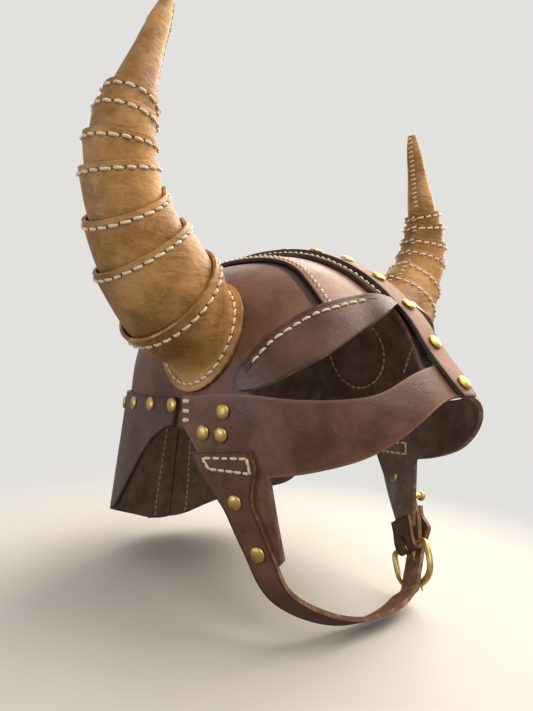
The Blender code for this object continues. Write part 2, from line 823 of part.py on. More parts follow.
def cut(made, name, half_sizes, frame, centre, sides=4):
    """Take a box, or a round hole along the frame's last axis, out of a part."""
    mesh = bpy.data.meshes.new(name)
    box = bmesh.new()
    if sides == 4:
        bmesh.ops.create_cube(box, size=2)
    else:
        bmesh.ops.create_cone(box, cap_ends=True, segments=sides, radius1=1, radius2=1, depth=2)
    for vertex in box.verts:
        shift = [axis * half * place for axis, half, place in zip(frame, half_sizes, vertex.co)]
        vertex.co = centre + shift[0] + shift[1] + shift[2]
    if frame[0].cross(frame[1]).dot(frame[2]) < 0:
        bmesh.ops.reverse_faces(box, faces=box.faces)
    box.to_mesh(mesh)
    box.free()
    cutter = bpy.data.objects.new(name, mesh)
    cutter.hide_render = True
    cutter.display_type = "WIRE"
    cutters.objects.link(cutter)
    taken = made.modifiers.new(name, "BOOLEAN")
    taken.operation = "DIFFERENCE"
    taken.solver = "EXACT"
    taken.object = cutter


def buckle_strap():
    """Folded strap on the left cheek: outside the tab, round the bar and back up inside."""
    leg_radius = BAR_RADIUS + BAR_CLEAR
    cheek = [on_form(place, level(2)) for place in spots(BUCKLE_LINE_SHARES, TAB_DROP)]
    inner_lift = level(1) - LAYER_GAP
    rivet_stop = on_form(BEND.rivet, inner_lift)
    stops = list(cheek)
    lifts = [level(2)] * len(cheek)
    normals = [outward(on_form(stop)) for stop in cheek]
    neck = BAR_DROP * LEG_NECK_SHARE
    stops.append(BEND.at(-neck, leg_radius + LEG_OPEN))
    normals.append(BEND.out)
    for step in range(LEG_TURN_CELLS + 1):
        angle = math.pi / 2 - math.pi * step / LEG_TURN_CELLS
        stops.append(BEND.at(leg_radius * math.cos(angle), leg_radius * math.sin(angle)))
        normals.append(BEND.down * math.cos(angle) + BEND.out * math.sin(angle))
    stops.append(BEND.at(-neck, -leg_radius - LEG_OPEN))
    normals.append(-BEND.out)
    stops.append(rivet_stop)
    normals.append(-BEND.out)
    stops.append(on_form(BEND.rivet - BEND.down * BAR_DROP * LEG_END_SHARE, inner_lift))
    normals.append(-BEND.out)
    lifts += [None] * (len(stops) - len(cheek) - 2) + [inner_lift, inner_lift]
    lines = crossways(stops, normals)
    for number in range(len(cheek) - 1, len(stops)):
        lines[number] = BEND.across
    head = [HEAD_WIDTH, HEAD_WIDTH * HEAD_TAPER, RIVET_WIDTH, (RIVET_WIDTH + LEG_WIDTH) / 2]
    widths = head + [LEG_WIDTH] * (len(stops) - len(head))
    place = strap_place(stops, lines, widths, lifts)
    whole = path_length(stops)
    shares = []
    for number in range(len(stops) - 1):
        span = (stops[number + 1] - stops[number]).length
        parts_here = cells(span, NARROW_CELL)
        start = path_length(stops[:number + 1]) / whole
        shares += [start + span / whole * step / parts_here for step in range(parts_here)]
    shares.append(1)

    def stepped_place(u, v):
        return place(shares[round(u * (len(shares) - 1))], v)

    made = lay_sheet("buckle_strap", [(len(shares) - 1, 2, stepped_place)], HIDE,
                     HELMET_LEATHER, LEFT)
    frame = [mirror(axis) for axis in (BEND.down, BEND.out, BEND.across)]
    cut(made, "prong_slot", (SLOT_REACH, SLOT_REACH, SLOT_WIDTH / 2), frame, mirror(BEND.bar))
    return made


def chin_strap():
    cheek = [on_form(place, level(2)) for place in spots(CHEEK_LINE_SHARES, TAB_DROP)]
    chin = spots(CHIN_LINE_SHARES, CHIN_DROP)
    inside = -(FRAME_RADIUS + HIDE + STRAP_UNDER)
    outside = BAR_RADIUS + BAR_CLEAR + HIDE + STRAP_CLEAR
    bend = [BEND.at(FRAME_LENGTH * along, inside * under) for along, under in STRAP_UNDER_SHARES]
    bend += [
        BEND.at(FRAME_LENGTH * STRAP_RISE_SHARE, (inside + outside) / 2),
        BEND.at(0, outside + STRAP_CLEAR),
    ]
    billet_places = spots(BILLET_LINE_SHARES, TAB_DROP)
    billet = [on_form(BEND.rivet, level(3) + CAP_CROWN + CAP_EDGE + STRAP_CLEAR)]
    billet += [on_form(place, level(3)) for place in billet_places]
    left = [mirror(stop) for stop in bend + billet]
    stops = cheek + chin + left
    normals = [outward(on_form(stop)) for stop in cheek]
    lines = crossways(stops, normals)
    lines += [CHIN_WIDTH_LINE] * (len(chin) - 1)
    lines.append((CHIN_WIDTH_LINE + mirror(BEND.across)).normalized())
    lines += [mirror(BEND.across)] * len(left)
    head = [HEAD_WIDTH, HEAD_WIDTH * HEAD_TAPER, NECK_WIDTH, (NECK_WIDTH + STRAP_WIDTH) / 2]
    widths = head + [STRAP_WIDTH] * (len(stops) - len(head))
    lifts = [level(2)] * len(cheek) + [None] * (len(chin) + len(left))
    columns = cells(path_length(stops), NARROW_CELL)
    made = lay_sheet("chin_strap", [(columns, 2, strap_place(stops, lines, widths, lifts))],
                     HIDE, HELMET_LEATHER)
    frame = [mirror(axis) for axis in (BEND.down, BEND.out, BEND.across)]
    middle = (HOLE_START + HOLE_END) / 2
    cut(made, "prong_hole", ((HOLE_END - HOLE_START) / 2, FRAME_LENGTH, SLOT_WIDTH / 2), frame,
        mirror(BEND.at(middle, 0)))
    stud_place = billet_places[0]
    stud_seat = mirror(on_form(stud_place, level(3)))
    stud_out = mirror(outward(on_form(stud_place)))
    stud_down = mirror(BEND.down)
    side = stud_out.cross(stud_down).normalized()
    cut(made, "stud_hole", (STUD_HOLE_RADIUS, STUD_HOLE_RADIUS, HIDE * 2),
        (side, stud_out.cross(side), stud_out), stud_seat, STUD_SIDES)
    return made


def tube(name, points, radii, closed, origin):
    """A round brass bar along points, with a radius at each and its origin on its joint."""
    path = bpy.data.curves.new(name, "CURVE")
    path.dimensions = "3D"
    path.bevel_depth = 1
    path.bevel_resolution = TUBE_QUARTER
    path.use_fill_caps = not closed
    line = path.splines.new("POLY")
    line.points.add(len(points) - 1)
    for knot, point, radius in zip(line.points, points, radii):
        knot.co = (*(point - origin), 1)
        knot.radius = radius
    line.use_cyclic_u = closed
    drawn = bpy.data.objects.new(name, path)
    cutters.objects.link(drawn)
    graph = bpy.context.evaluated_depsgraph_get()
    mesh = bpy.data.meshes.new_from_object(drawn.evaluated_get(graph))
    bpy.data.objects.remove(drawn)
    shape = bmesh.new()
    shape.from_mesh(mesh)
    bmesh.ops.remove_doubles(shape, verts=shape.verts, dist=WELD)
    bmesh.ops.recalc_face_normals(shape, faces=shape.faces)
    for face in shape.faces:
        face.smooth = True
    shape.to_mesh(mesh)
    shape.free()
    mesh.materials.clear()
    made = add_part(name, mesh, BRASS)
    made.location = origin
    return made


def buckle_frame():
    """Heel bar inside the fold and a thicker loop that stands out past it."""
    points = []
    radii = []

    def knot(down, across, radius):
        points.append(mirror(BEND.at(down, 0, across)))
        radii.append(radius)

    bar_end = LEG_WIDTH / 2 + LAYER_GAP * 2
    knot(0, -bar_end, BAR_RADIUS)
    knot(0, bar_end, BAR_RADIUS)
    side_end = FRAME_LENGTH * FRAME_SIDE_SHARE
    chamfer = FRAME_CORNER * FRAME_CHAMFER_SHARE
    corner = (
        (0, FRAME_HALF_WIDTH - FRAME_CORNER, FRAME_RADIUS * FRAME_NECK_SHARE),
        (chamfer, FRAME_HALF_WIDTH - chamfer, FRAME_RADIUS),
        (FRAME_CORNER, FRAME_HALF_WIDTH, FRAME_RADIUS),
    )
    for down, across, radius in corner:
        knot(down, across, radius)
    for step in range(FRAME_BOW_KNOTS + 1):
        angle = math.pi * step / FRAME_BOW_KNOTS
        down = side_end + (FRAME_LENGTH - side_end) * math.sin(angle) ** FRAME_BOW_POWER
        knot(down, FRAME_HALF_WIDTH * math.cos(angle), FRAME_RADIUS)
    for down, across, radius in reversed(corner):
        knot(down, -across, radius)
    return tube("buckle_frame", points, radii, True, mirror(BEND.bar))


def buckle_prong():
    """Wire hooped round the heel bar, lying on the far side of the frame."""
    clear = BAR_RADIUS + HOOP_CLEAR + PRONG_RADIUS
    hoop = clear / math.cos(math.pi / HOOP_TURNS)
    points = []
    for step in range(round(HOOP_TURNS * HOOP_SHARE), -1, -1):
        angle = math.pi / 2 + 2 * math.pi * step / HOOP_TURNS
        points.append(mirror(BEND.at(hoop * math.cos(angle), hoop * math.sin(angle))))
    rest = FRAME_RADIUS + PRONG_REST + PRONG_RADIUS
    points.append(mirror(BEND.at(FRAME_LENGTH * PRONG_MIDDLE_SHARE, (hoop + rest) / 2)))
    points.append(mirror(BEND.at(FRAME_LENGTH, rest)))
    points.append(mirror(BEND.at(FRAME_LENGTH + PRONG_OVER, rest - PRONG_RADIUS / 2)))
    radii = [PRONG_RADIUS] * (len(points) - 1) + [PRONG_RADIUS * PRONG_POINT_SHARE]
    return tube("buckle_prong", points, radii, False, mirror(BEND.bar))


def keeper_stud():
    place = spots(BILLET_LINE_SHARES, TAB_DROP)[0]
    seat = on_form(place, level(3) - LAYER_GAP + CAP_SEAT)
    profile = [
        (0, STUD_HEAD_END), (STUD_HEAD_RADIUS - STUD_ROUND, STUD_HEAD_END),
        (STUD_HEAD_RADIUS, STUD_HEAD_END - STUD_ROUND), (STUD_HEAD_RADIUS, STUD_NECK_END + STUD_ROUND),
        (STUD_HEAD_RADIUS - STUD_ROUND, STUD_NECK_END), (STUD_NECK_RADIUS, STUD_NECK_END),
        (STUD_NECK_RADIUS, 0), (0, 0),
    ]
    return turned("keeper_stud", profile, mirror(seat), mirror(outward(on_form(place))), STUD_SIDES)


# Rivets down the crest and its tail, on the cheeks and through the straps
CREST_PROBES = 240
STRAP_RIVET_SHARES = ((-0.977, -0.439, -0.57), (-0.895, -0.557, -0.88))
BUCKLE_RIVET_SHARES = ((-0.975, -0.445, -0.57), (-0.88, -0.575, -0.91))
CHEEK_RIVET_SHARES = ((-1.03, -0.35, 0.02), (-1.05, -0.23, -0.38), (-1.02, -0.34, -0.36))


def crest_rivets():
    """Caps evenly spaced along the outer face of the crest strap, from its front end."""
    line = crest_line()
    face = []
    for probe in range(CREST_PROBES + 1):
        share = probe / CREST_PROBES
        face.append(on_form(smooth(line, share), level(stepped(CREST_LEVELS, share)) + HIDE))
    whole = path_length(face)
    spacing = (whole - RIVET_START - RIVET_TAIL) / (RIVET_COUNT - 1)
    for number in range(RIVET_COUNT):
        share = (RIVET_START + number * spacing) / whole
        seat = smooth(face, share)
        run = smooth(face, share + 1 / CREST_PROBES) - smooth(face, share - 1 / CREST_PROBES)
        rivet(f"crest_rivet_{number + 1}", seat, Vector((1, 0, 0)).cross(run).normalized())


def side_rivets():
    cheek = spots(CHEEK_RIVET_SHARES, CHEEK_DROP)
    straps = {
        RIGHT: spots(STRAP_RIVET_SHARES, TAB_DROP),
        LEFT: spots(BUCKLE_RIVET_SHARES, TAB_DROP),
    }
    for side in (RIGHT, LEFT):
        seats = [(f"cheek_rivet_{number}", place, level(1) + HIDE)
                 for number, place in enumerate(cheek, 1)]
        strap_lift = level(2) + HIDE
        seats += [(f"strap_rivet_{number}", place, strap_lift)
                  for number, place in enumerate(straps[side], 1)]
        for name, place, lift in seats:
            seat = on_form(place, lift)
            normal = outward(on_form(place))
            if side == LEFT:
                seat = mirror(seat)
                normal = mirror(normal)
            rivet(f"{name}_{side_name(side)}", seat, normal)


for hand in (RIGHT, LEFT):
    side_panel(hand)
    top_panel(hand)
    brow(hand)
    guard_flap(hand)
    horn_flare(hand)
    for sleeve in range(1, SLEEVE_COUNT + 1):
        horn_sleeve(hand, sleeve)
    horn_tip(hand)
face_mask()
ridge_base()
crest_strap()
buckle_strap()
chin_strap()
buckle_frame()
buckle_prong()
keeper_stud()
crest_rivets()
side_rivets()
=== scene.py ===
import math

import bmesh
import bpy
from mathutils import Matrix, Vector
from mathutils.bvhtree import BVHTree
from mathutils.kdtree import KDTree


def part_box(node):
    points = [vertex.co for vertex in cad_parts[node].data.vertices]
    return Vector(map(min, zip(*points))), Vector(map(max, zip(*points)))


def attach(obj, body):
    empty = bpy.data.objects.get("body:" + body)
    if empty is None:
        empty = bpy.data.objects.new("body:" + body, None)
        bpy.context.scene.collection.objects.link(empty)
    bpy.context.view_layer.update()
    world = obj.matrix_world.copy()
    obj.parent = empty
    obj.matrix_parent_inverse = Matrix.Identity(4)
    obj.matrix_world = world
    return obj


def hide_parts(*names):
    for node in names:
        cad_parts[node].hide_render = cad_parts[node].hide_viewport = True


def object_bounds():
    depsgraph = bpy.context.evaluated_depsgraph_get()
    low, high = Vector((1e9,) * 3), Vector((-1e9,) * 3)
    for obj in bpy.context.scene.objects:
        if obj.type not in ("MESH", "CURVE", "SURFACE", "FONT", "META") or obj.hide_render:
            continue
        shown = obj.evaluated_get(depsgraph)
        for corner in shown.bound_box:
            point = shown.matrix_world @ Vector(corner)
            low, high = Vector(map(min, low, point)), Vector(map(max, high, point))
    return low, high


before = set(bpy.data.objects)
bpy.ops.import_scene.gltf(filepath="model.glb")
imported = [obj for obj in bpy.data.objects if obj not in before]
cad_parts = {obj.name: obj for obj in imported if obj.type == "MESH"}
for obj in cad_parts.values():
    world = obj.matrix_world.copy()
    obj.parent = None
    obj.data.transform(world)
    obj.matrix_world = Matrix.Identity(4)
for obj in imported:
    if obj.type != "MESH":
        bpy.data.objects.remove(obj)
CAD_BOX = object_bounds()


# Camera: level with the rim of the helmet, off its front right corner, tilted a little.
# It stands close, so the near horn looks much larger than the far one.
CAMERA_TURN = math.radians(-43.65)
CAMERA_RISE = math.radians(0.08)
CAMERA_TILT = math.radians(4.27)
CAMERA_AWAY, CAMERA_RIGHT, CAMERA_UP = 0.42142, -0.01713, 0.03748
FOCUS_PIXELS, PICTURE_PIXELS = 586.29, 711
SENSOR_MM = 36

back = Vector((math.sin(CAMERA_TURN) * math.cos(CAMERA_RISE),
               -math.cos(CAMERA_TURN) * math.cos(CAMERA_RISE), math.sin(CAMERA_RISE)))
level_right = Vector((math.cos(CAMERA_TURN), math.sin(CAMERA_TURN), 0))
level_up = back.cross(level_right)
right = level_right * math.cos(CAMERA_TILT) + level_up * math.sin(CAMERA_TILT)
up = level_up * math.cos(CAMERA_TILT) - level_right * math.sin(CAMERA_TILT)
camera = bpy.data.objects.new("camera", bpy.data.cameras.new("camera"))
bpy.context.scene.collection.objects.link(camera)
camera.data.sensor_width = SENSOR_MM
camera.data.lens = SENSOR_MM * FOCUS_PIXELS / PICTURE_PIXELS
camera.data.clip_start = 0.01
turned = Matrix((right, up, back)).transposed().to_4x4()
camera.matrix_world = Matrix.Translation(
    back * CAMERA_AWAY + right * CAMERA_RIGHT + up * CAMERA_UP) @ turned
bpy.context.scene.camera = camera
bpy.context.scene.view_settings.view_transform = "Standard"


# Studio: a pale matt floor under the chin strap, pale air all round, a warm soft lamp beside
# the far horn, one above the crown and weaker ones in front, beside the near horn and behind.
FLOOR_GAP = 0.002
FLOOR_RADIUS = 6.0
FADE_FROM, FADE_TO = 0.14, 0.42
PALE = "#e3e1de"
GLINT_SHARE = 0.55
LAMP_AIM = Vector((0, 0, 0.05))


def linear(colour, alpha=True):
    """The linear colour of an sRGB hex value."""
    parts = [int(colour[place:place + 2], 16) / 255 for place in (1, 3, 5)]
    made = [part / 12.92 if part <= 0.04045 else ((part + 0.055) / 1.055) ** 2.4
            for part in parts]
    return (*made, 1.0) if alpha else tuple(made)


def put(tree, kind, settings=None, **sockets):
    """Add a shader node: settings are its properties, sockets its inputs, by name or number."""
    node = tree.nodes.new("ShaderNode" + kind)
    for name, value in (settings or {}).items():
        setattr(node, name, value)
    for name, value in sockets.items():
        key = int(name[1:]) if name[1:].isdigit() else name.replace("_", " ")
        if isinstance(value, bpy.types.NodeSocket):
            tree.links.new(value, node.inputs[key])
        else:
            node.inputs[key].default_value = value
    return node


def calc(tree, operation, *values):
    """The result of a Math node."""
    sockets = {f"_{place}": value for place, value in enumerate(values)}
    return put(tree, "Math", {"operation": operation}, **sockets).outputs[0]


def ranged(tree, value, low, high, start=0.0, end=1.0):
    """Smooth step of a value between two limits."""
    return put(tree, "MapRange", {"interpolation_type": "SMOOTHSTEP"}, Value=value,
               From_Min=low, From_Max=high, To_Min=start, To_Max=end).outputs["Result"]


def new_material(name):
    """A new material, its node tree and its main shader."""
    made = bpy.data.materials.new(name)
    made.use_nodes = True
    return made, made.node_tree, made.node_tree.nodes["Principled BSDF"]


def deselect():
    """Leave no object selected, so that an operator works on the next piece alone."""
    for other in bpy.context.selected_objects:
        other.select_set(False)


def linked(name, data):
    """A new object in the scene."""
    made = bpy.data.objects.new(name, data)
    bpy.context.scene.collection.objects.link(made)
    return made


world = bpy.data.worlds.new("pale_air")
bpy.context.scene.world = world
world.use_nodes = True
air = world.node_tree
air.nodes.clear()
seen = put(air, "LightPath").outputs
shown = calc(air, "MAXIMUM", seen["Is Camera Ray"], seen["Is Transmission Ray"])
either = calc(air, "MAXIMUM", shown, calc(air, "MULTIPLY", seen["Is Glossy Ray"], GLINT_SHARE))
soft = put(air, "Background", Color=linear("#efe9e2"), Strength=0.40)
pale = put(air, "Background", Color=linear(PALE), Strength=1.0)
blend = put(air, "MixShader", Fac=either, _1=soft.outputs[0], _2=pale.outputs[0])
put(air, "OutputWorld", Surface=blend.outputs[0])

# The floor is dimmer for the light that it throws back at the helmet, and fades into the air.
deselect()
bpy.ops.mesh.primitive_circle_add(vertices=96, radius=FLOOR_RADIUS, fill_type="NGON",
                                  location=(0, 0, CAD_BOX[0].z - FLOOR_GAP))
floor = bpy.context.object
floor.name = "studio_floor"
floor_paint, paint, _ = new_material("matt_studio_paint")
by_camera = put(paint, "LightPath").outputs["Is Camera Ray"]
wall = put(paint, "BsdfDiffuse", Color=linear("#dad8d4"))
dim = put(paint, "BsdfDiffuse", Color=linear("#928f8a"))
matt = put(paint, "MixShader", Fac=by_camera, _1=dim.outputs[0], _2=wall.outputs[0])
away = put(paint, "VectorMath", {"operation": "LENGTH"},
           _0=put(paint, "TexCoord").outputs["Object"]).outputs["Value"]
share = calc(paint, "MULTIPLY", ranged(paint, away, FADE_FROM, FADE_TO), by_camera)
far = put(paint, "Emission", Color=linear(PALE), Strength=1.0)
whole = put(paint, "MixShader", Fac=share, _1=matt.outputs[0], _2=far.outputs[0])
paint.links.new(whole.outputs[0], paint.nodes["Material Output"].inputs["Surface"])
floor.data.materials.append(floor_paint)


def lamp(name, place, power, size, colour):
    """A square soft lamp that points at the middle of the helmet."""
    made = linked(name, bpy.data.lights.new(name, "AREA"))
    made.data.energy = power
    made.data.size = size
    made.data.color = linear(colour, alpha=False)
    made.location = place
    made.rotation_euler = (LAMP_AIM - Vector(place)).to_track_quat("-Z", "Y").to_euler()


lamp("key_lamp", (1.05, 0.16, 0.72), power=21.0, size=1.15, colour="#fff0de")
lamp("top_lamp", (0.42, -0.42, 1.08), power=10.0, size=0.75, colour="#fff3e6")
lamp("front_lamp", (-0.55, -1.05, 0.95), power=6.0, size=0.60, colour="#fff1e2")
lamp("side_lamp", (-1.10, 0.34, 0.06), power=2.0, size=0.26, colour="#e8ecfa")
lamp("back_lamp", (0.70, 1.00, 0.70), power=3.0, size=0.70, colour="#fff6ee")


# Side panels: the two halves of the dome, cut from vegetable-tanned cowhide 2.8 mm thick,
# dyed chestnut, wet-formed and butted along the middle under the ridge. In a band about
# 7 mm wide beside the top panels' outer edge they are coloured nearly black.
HANDS = (("right", -1), ("left", 1))
HEART = Vector((0, 0.014, 0.020))
MM = 1000
MERGE = 0.00001
QUAD_BEND, QUAD_SHAPE = math.radians(35), math.radians(60)
RIM_ROUND, RIM_ANGLE = 0.00045, math.radians(50)
FINER = 2
CREASE = math.radians(38)
GRAIN, FLESH, RIM = 0, 1, 2
NO_SEAM_MM = 9.0
CLOUD, FLECK, SCUFF, PEBBLE, FOLD = 0.034, 0.0032, 0.022, 0.0011, 0.016
FLESH_CLOUD, FLESH_FIBRE, EDGE_WEAR = 0.018, 0.0012, 0.009
WAX_ROUGH = 0.30
# The near-black colour of the band beside the top panels' outer edge.
MARGIN_DARK = "#33261f"


def copied(node, name):
    """A merged copy of a CAD piece, of four-sided faces, selected and active."""
    deselect()
    piece = linked(name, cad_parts[node].data.copy())
    bpy.context.view_layer.objects.active = piece
    piece.select_set(True)
    piece.data.materials.clear()
    bpy.ops.object.mode_set(mode="EDIT")
    bpy.ops.mesh.select_all(action="SELECT")
    bpy.ops.mesh.remove_doubles(threshold=MERGE)
    bpy.ops.mesh.customdata_custom_splitnormals_clear()
    bpy.ops.mesh.mark_sharp(clear=True)
    bpy.ops.mesh.tris_convert_to_quads(face_threshold=QUAD_BEND, shape_threshold=QUAD_SHAPE)
    bpy.ops.object.mode_set(mode="OBJECT")
    bpy.ops.object.shade_smooth()
    return piece


def applied(piece, kind, **settings):
    """Add a modifier to the active piece and apply it."""
    made = piece.modifiers.new(kind.lower(), kind)
    for name, value in settings.items():
        setattr(made, name, value)
    bpy.ops.object.modifier_apply(modifier=made.name)


def part_faces(piece, heart, grain_too=None):
    """Mark the faces of the grain side, the flesh side and the cut rim by material number."""
    shape = bmesh.new()
    shape.from_mesh(piece.data)
    groups, met = [], set()
    for first in shape.faces:
        if first in met:
            continue
        met.add(first)
        waiting, group = [first], []
        while waiting:
            face = waiting.pop()
            group.append(face)
            for edge in face.edges:
                if len(edge.link_faces) == 2 and edge.calc_face_angle(0) < CREASE:
                    for other in edge.link_faces:
                        if other not in met:
                            met.add(other)
                            waiting.append(other)
        groups.append(group)
    groups.sort(key=lambda group: -sum(face.calc_area() for face in group))

    def facing_in(group):
        return -sum(face.calc_area()
                    * face.normal.dot((face.calc_center_median() - heart).normalized())
                    for face in group)

    both_sides = sorted(groups[:2], key=facing_in)
    for number, group in enumerate(both_sides + groups[2:]):
        for face in group:
            face.material_index = min(number, RIM)
            if number > FLESH and grain_too and grain_too(face.calc_center_median()):
                face.material_index = GRAIN
    shape.to_mesh(piece.data)
    shape.free()


def run_length(points):
    """The length of a line of points."""
    return sum((after - before).length for before, after in zip(points, points[1:]))


def rim_loops(piece):
    """The closed lines where the grain side meets the cut rim, the longest first."""
    mesh = piece.data
    sides = {}
    for face in mesh.polygons:
        for key in face.edge_keys:
            sides.setdefault(key, []).append(face.material_index == GRAIN)
    links = {}
    for (first, second), grain in sides.items():
        if len(grain) == 2 and grain[0] != grain[1]:
            links.setdefault(first, []).append(second)
            links.setdefault(second, []).append(first)
    loops = []
    while links:
        start = next(iter(links))
        loop, here = [start], start
        while links.get(here):
            after = links[here].pop()
            links[after].remove(here)
            if not links[here]:
                del links[here]
            here = after
            if here == start:
                break
            loop.append(here)
        links = {key: value for key, value in links.items() if value}
        loops.append([mesh.vertices[number].co.copy() for number in loop])
    return sorted(loops, key=lambda loop: -run_length(loop + loop[:1]))


def near_tree(points):
    """A search tree for the nearest of some points."""
    tree = KDTree(len(points))
    for number, point in enumerate(points):
        tree.insert(point, number)
    tree.balance()
    return tree


def side_tree(piece, side=GRAIN):
    """A search tree for places on one side of a leather piece."""
    mesh = piece.data
    return BVHTree.FromPolygons([vertex.co for vertex in mesh.vertices],
                                [face.vertices[:] for face in mesh.polygons
                                 if face.material_index == side])


def leather(node, finish, heart=HEART, grain_too=None, formed=None):
    """Replace a leather node by the same piece with its rim rounded and its faces made finer.

    edge_mm is the way to the grain side's edge, seam_mm the way to a row of stitches, and
    sewn is 1 beside a row; sew_edge fills the last two.
    """
    piece = copied(node, node + "_hide")
    part_faces(piece, heart, grain_too)
    for material in finish:
        piece.data.materials.append(material)
    applied(piece, "BEVEL", width=RIM_ROUND, segments=2, limit_method="ANGLE",
            angle_limit=RIM_ANGLE)
    applied(piece, "SUBSURF", levels=FINER, render_levels=FINER)
    if formed:
        formed(piece)
    tree = near_tree([point for loop in rim_loops(piece) for point in loop])
    rim = piece.data.attributes.new("edge_mm", "FLOAT", "POINT")
    seam = piece.data.attributes.new("seam_mm", "FLOAT", "POINT")
    rim.data.foreach_set("value", [tree.find(vertex.co)[2] * MM for vertex in piece.data.vertices])
    seam.data.foreach_set("value", [NO_SEAM_MM] * len(piece.data.vertices))
    piece.data.attributes.new("sewn", "FLOAT", "POINT")
    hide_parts(node)
    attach(piece, "helmet")
    return piece


def field(tree, name):
    """The value of a named attribute of the mesh."""
    return put(tree, "Attribute", {"attribute_name": name}).outputs["Fac"]


def noise(tree, place, size, detail, roughness, **sockets):
    """Noise whose blots are about one size across."""
    return put(tree, "TexNoise", Vector=place, Scale=1 / size, Detail=detail,
               Roughness=roughness, **sockets).outputs["Fac"]


def mixed(tree, share, first, second):
    """Colour between two colours."""
    node = put(tree, "Mix", {"data_type": "RGBA", "blend_type": "MIX"}, _0=share, _6=first,
               _7=second)
    return node.outputs[2]


def bumped(tree, shader, strength, distance, height):
    """Give the shader's surface fine relief."""
    bump = put(tree, "Bump", Strength=strength, Distance=distance, Height=height)
    tree.links.new(bump.outputs[0], shader.inputs["Normal"])


def dyed_hide(name, body, deep, bright, dull=0.40, gloss=0.30, burnish=0.7, grain_depth=0.8,
              edge="#2a1b17", scribed=None, margin=None, shine=0.42, creased=0.0, scuffs=0.28,
              wax=0.0):
    """Vegetable-tanned cowhide, dyed by hand and waxed.

    The dye takes unevenly over 20 to 40 mm, the grain is fine pebbles about 1 mm across,
    the rims are burnished dark and a groove, its shade painted darker, holds each row of stitches.
    """
    made, tree, shader = new_material(name)
    place = put(tree, "TexCoord").outputs["Object"]
    cloud = noise(tree, place, CLOUD, 5.0, 0.6)
    fleck = noise(tree, place, FLECK, 4.0, 0.7)
    colour = mixed(tree, ranged(tree, cloud, 0.36, 0.66), linear(deep), linear(body))
    colour = mixed(tree, ranged(tree, fleck, 0.54, 0.86, 0.0, 0.5), colour, linear(bright))
    drawn_out = put(tree, "Mapping", Vector=place, Rotation=(0.5, 0.7, 0.3), Scale=(1, 14, 5))
    scuff = noise(tree, drawn_out.outputs[0], SCUFF, 6.0, 0.75)
    colour = mixed(tree, ranged(tree, scuff, 0.68, 0.80, 0.0, scuffs), colour, linear(bright))

    ragged = calc(tree, "MULTIPLY_ADD", fleck, 1.6, -0.8)
    from_edge = calc(tree, "ADD", field(tree, "edge_mm"), ragged)
    burnt = ranged(tree, from_edge, 0.5, 2.2, burnish, 0.0)
    colour = mixed(tree, burnt, colour, linear(edge))
    seam_mm, sewn = field(tree, "seam_mm"), field(tree, "sewn")
    from_row = calc(tree, "ABSOLUTE", seam_mm)
    groove = calc(tree, "MULTIPLY", ranged(tree, from_row, 0.3, 1.3, 1.0, 0.0), sewn)
    # Painted shade: the leather in the groove beside each row of stitches is darkened toward the
    # edge colour.
    rubbed = calc(tree, "MULTIPLY", ranged(tree, from_row, 0.2, 1.7, 0.45, 0.0), sewn)
    colour = mixed(tree, rubbed, colour, linear(edge))
    # Painted shade: the scribed line is darkened toward the edge colour, besides its dent in the
    # relief below.
    if scribed is not None:
        from_line = calc(tree, "ABSOLUTE", calc(tree, "ADD", seam_mm, scribed))
        line = calc(tree, "MULTIPLY", ranged(tree, from_line, 0.1, 0.6, 1.0, 0.0), sewn)
        colour = mixed(tree, calc(tree, "MULTIPLY", line, 0.6), colour, linear(edge))
    if margin is not None:
        wandering = calc(tree, "MULTIPLY_ADD", cloud, 1.2, field(tree, "margin_mm"))
        band = ranged(tree, wandering, margin - 0.5, margin + 0.7, 0.94, 0.0)
        colour = mixed(tree, band, colour, linear(MARGIN_DARK))
    tree.links.new(colour, shader.inputs["Base Color"])

    polish = ranged(tree, cloud, 0.30, 0.70, gloss, dull)
    tree.links.new(calc(tree, "MULTIPLY_ADD", fleck, 0.18, polish), shader.inputs["Roughness"])
    shader.inputs["Specular IOR Level"].default_value = shine
    shader.inputs["Coat Weight"].default_value = wax
    shader.inputs["Coat Roughness"].default_value = WAX_ROUGH
    pebble = put(tree, "TexVoronoi", {"feature": "SMOOTH_F1"}, Vector=place, Scale=1 / PEBBLE)
    height = calc(tree, "MULTIPLY_ADD", pebble.outputs["Distance"], -0.10, fleck)
    height = calc(tree, "MULTIPLY_ADD", groove, -1.6, height)
    height = calc(tree, "MULTIPLY_ADD", cloud, 3.0, height)
    if scribed is not None:
        height = calc(tree, "MULTIPLY_ADD", line, -1.2, height)
    if creased:
        pulled = put(tree, "Mapping", Vector=place, Rotation=(0.3, 0.5, 0.2), Scale=(1, 1, 2.6))
        fold = noise(tree, pulled.outputs[0], FOLD, 3.0, 0.5, Distortion=0.6)
        height = calc(tree, "MULTIPLY_ADD", fold, creased, height)
    bumped(tree, shader, grain_depth, 0.00035, height)
    return made


def flesh_side(name, body, bright):
    """The unfinished back of the hide: short loose fibres, rough and without any shine."""
    made, tree, shader = new_material(name)
    place = put(tree, "TexCoord").outputs["Object"]
    cloud = noise(tree, place, FLESH_CLOUD, 6.0, 0.7)
    fibre = noise(tree, place, FLESH_FIBRE, 3.0, 0.8)
    colour = mixed(tree, ranged(tree, cloud, 0.35, 0.70), linear(body), linear(bright))
    colour = mixed(tree, ranged(tree, fibre, 0.45, 0.75, 0.0, 0.5), colour, linear(bright))
    tree.links.new(colour, shader.inputs["Base Color"])
    shader.inputs["Roughness"].default_value = 0.92
    shader.inputs["Specular IOR Level"].default_value = 0.2
    bumped(tree, shader, 0.6, 0.0004, fibre)
    return made


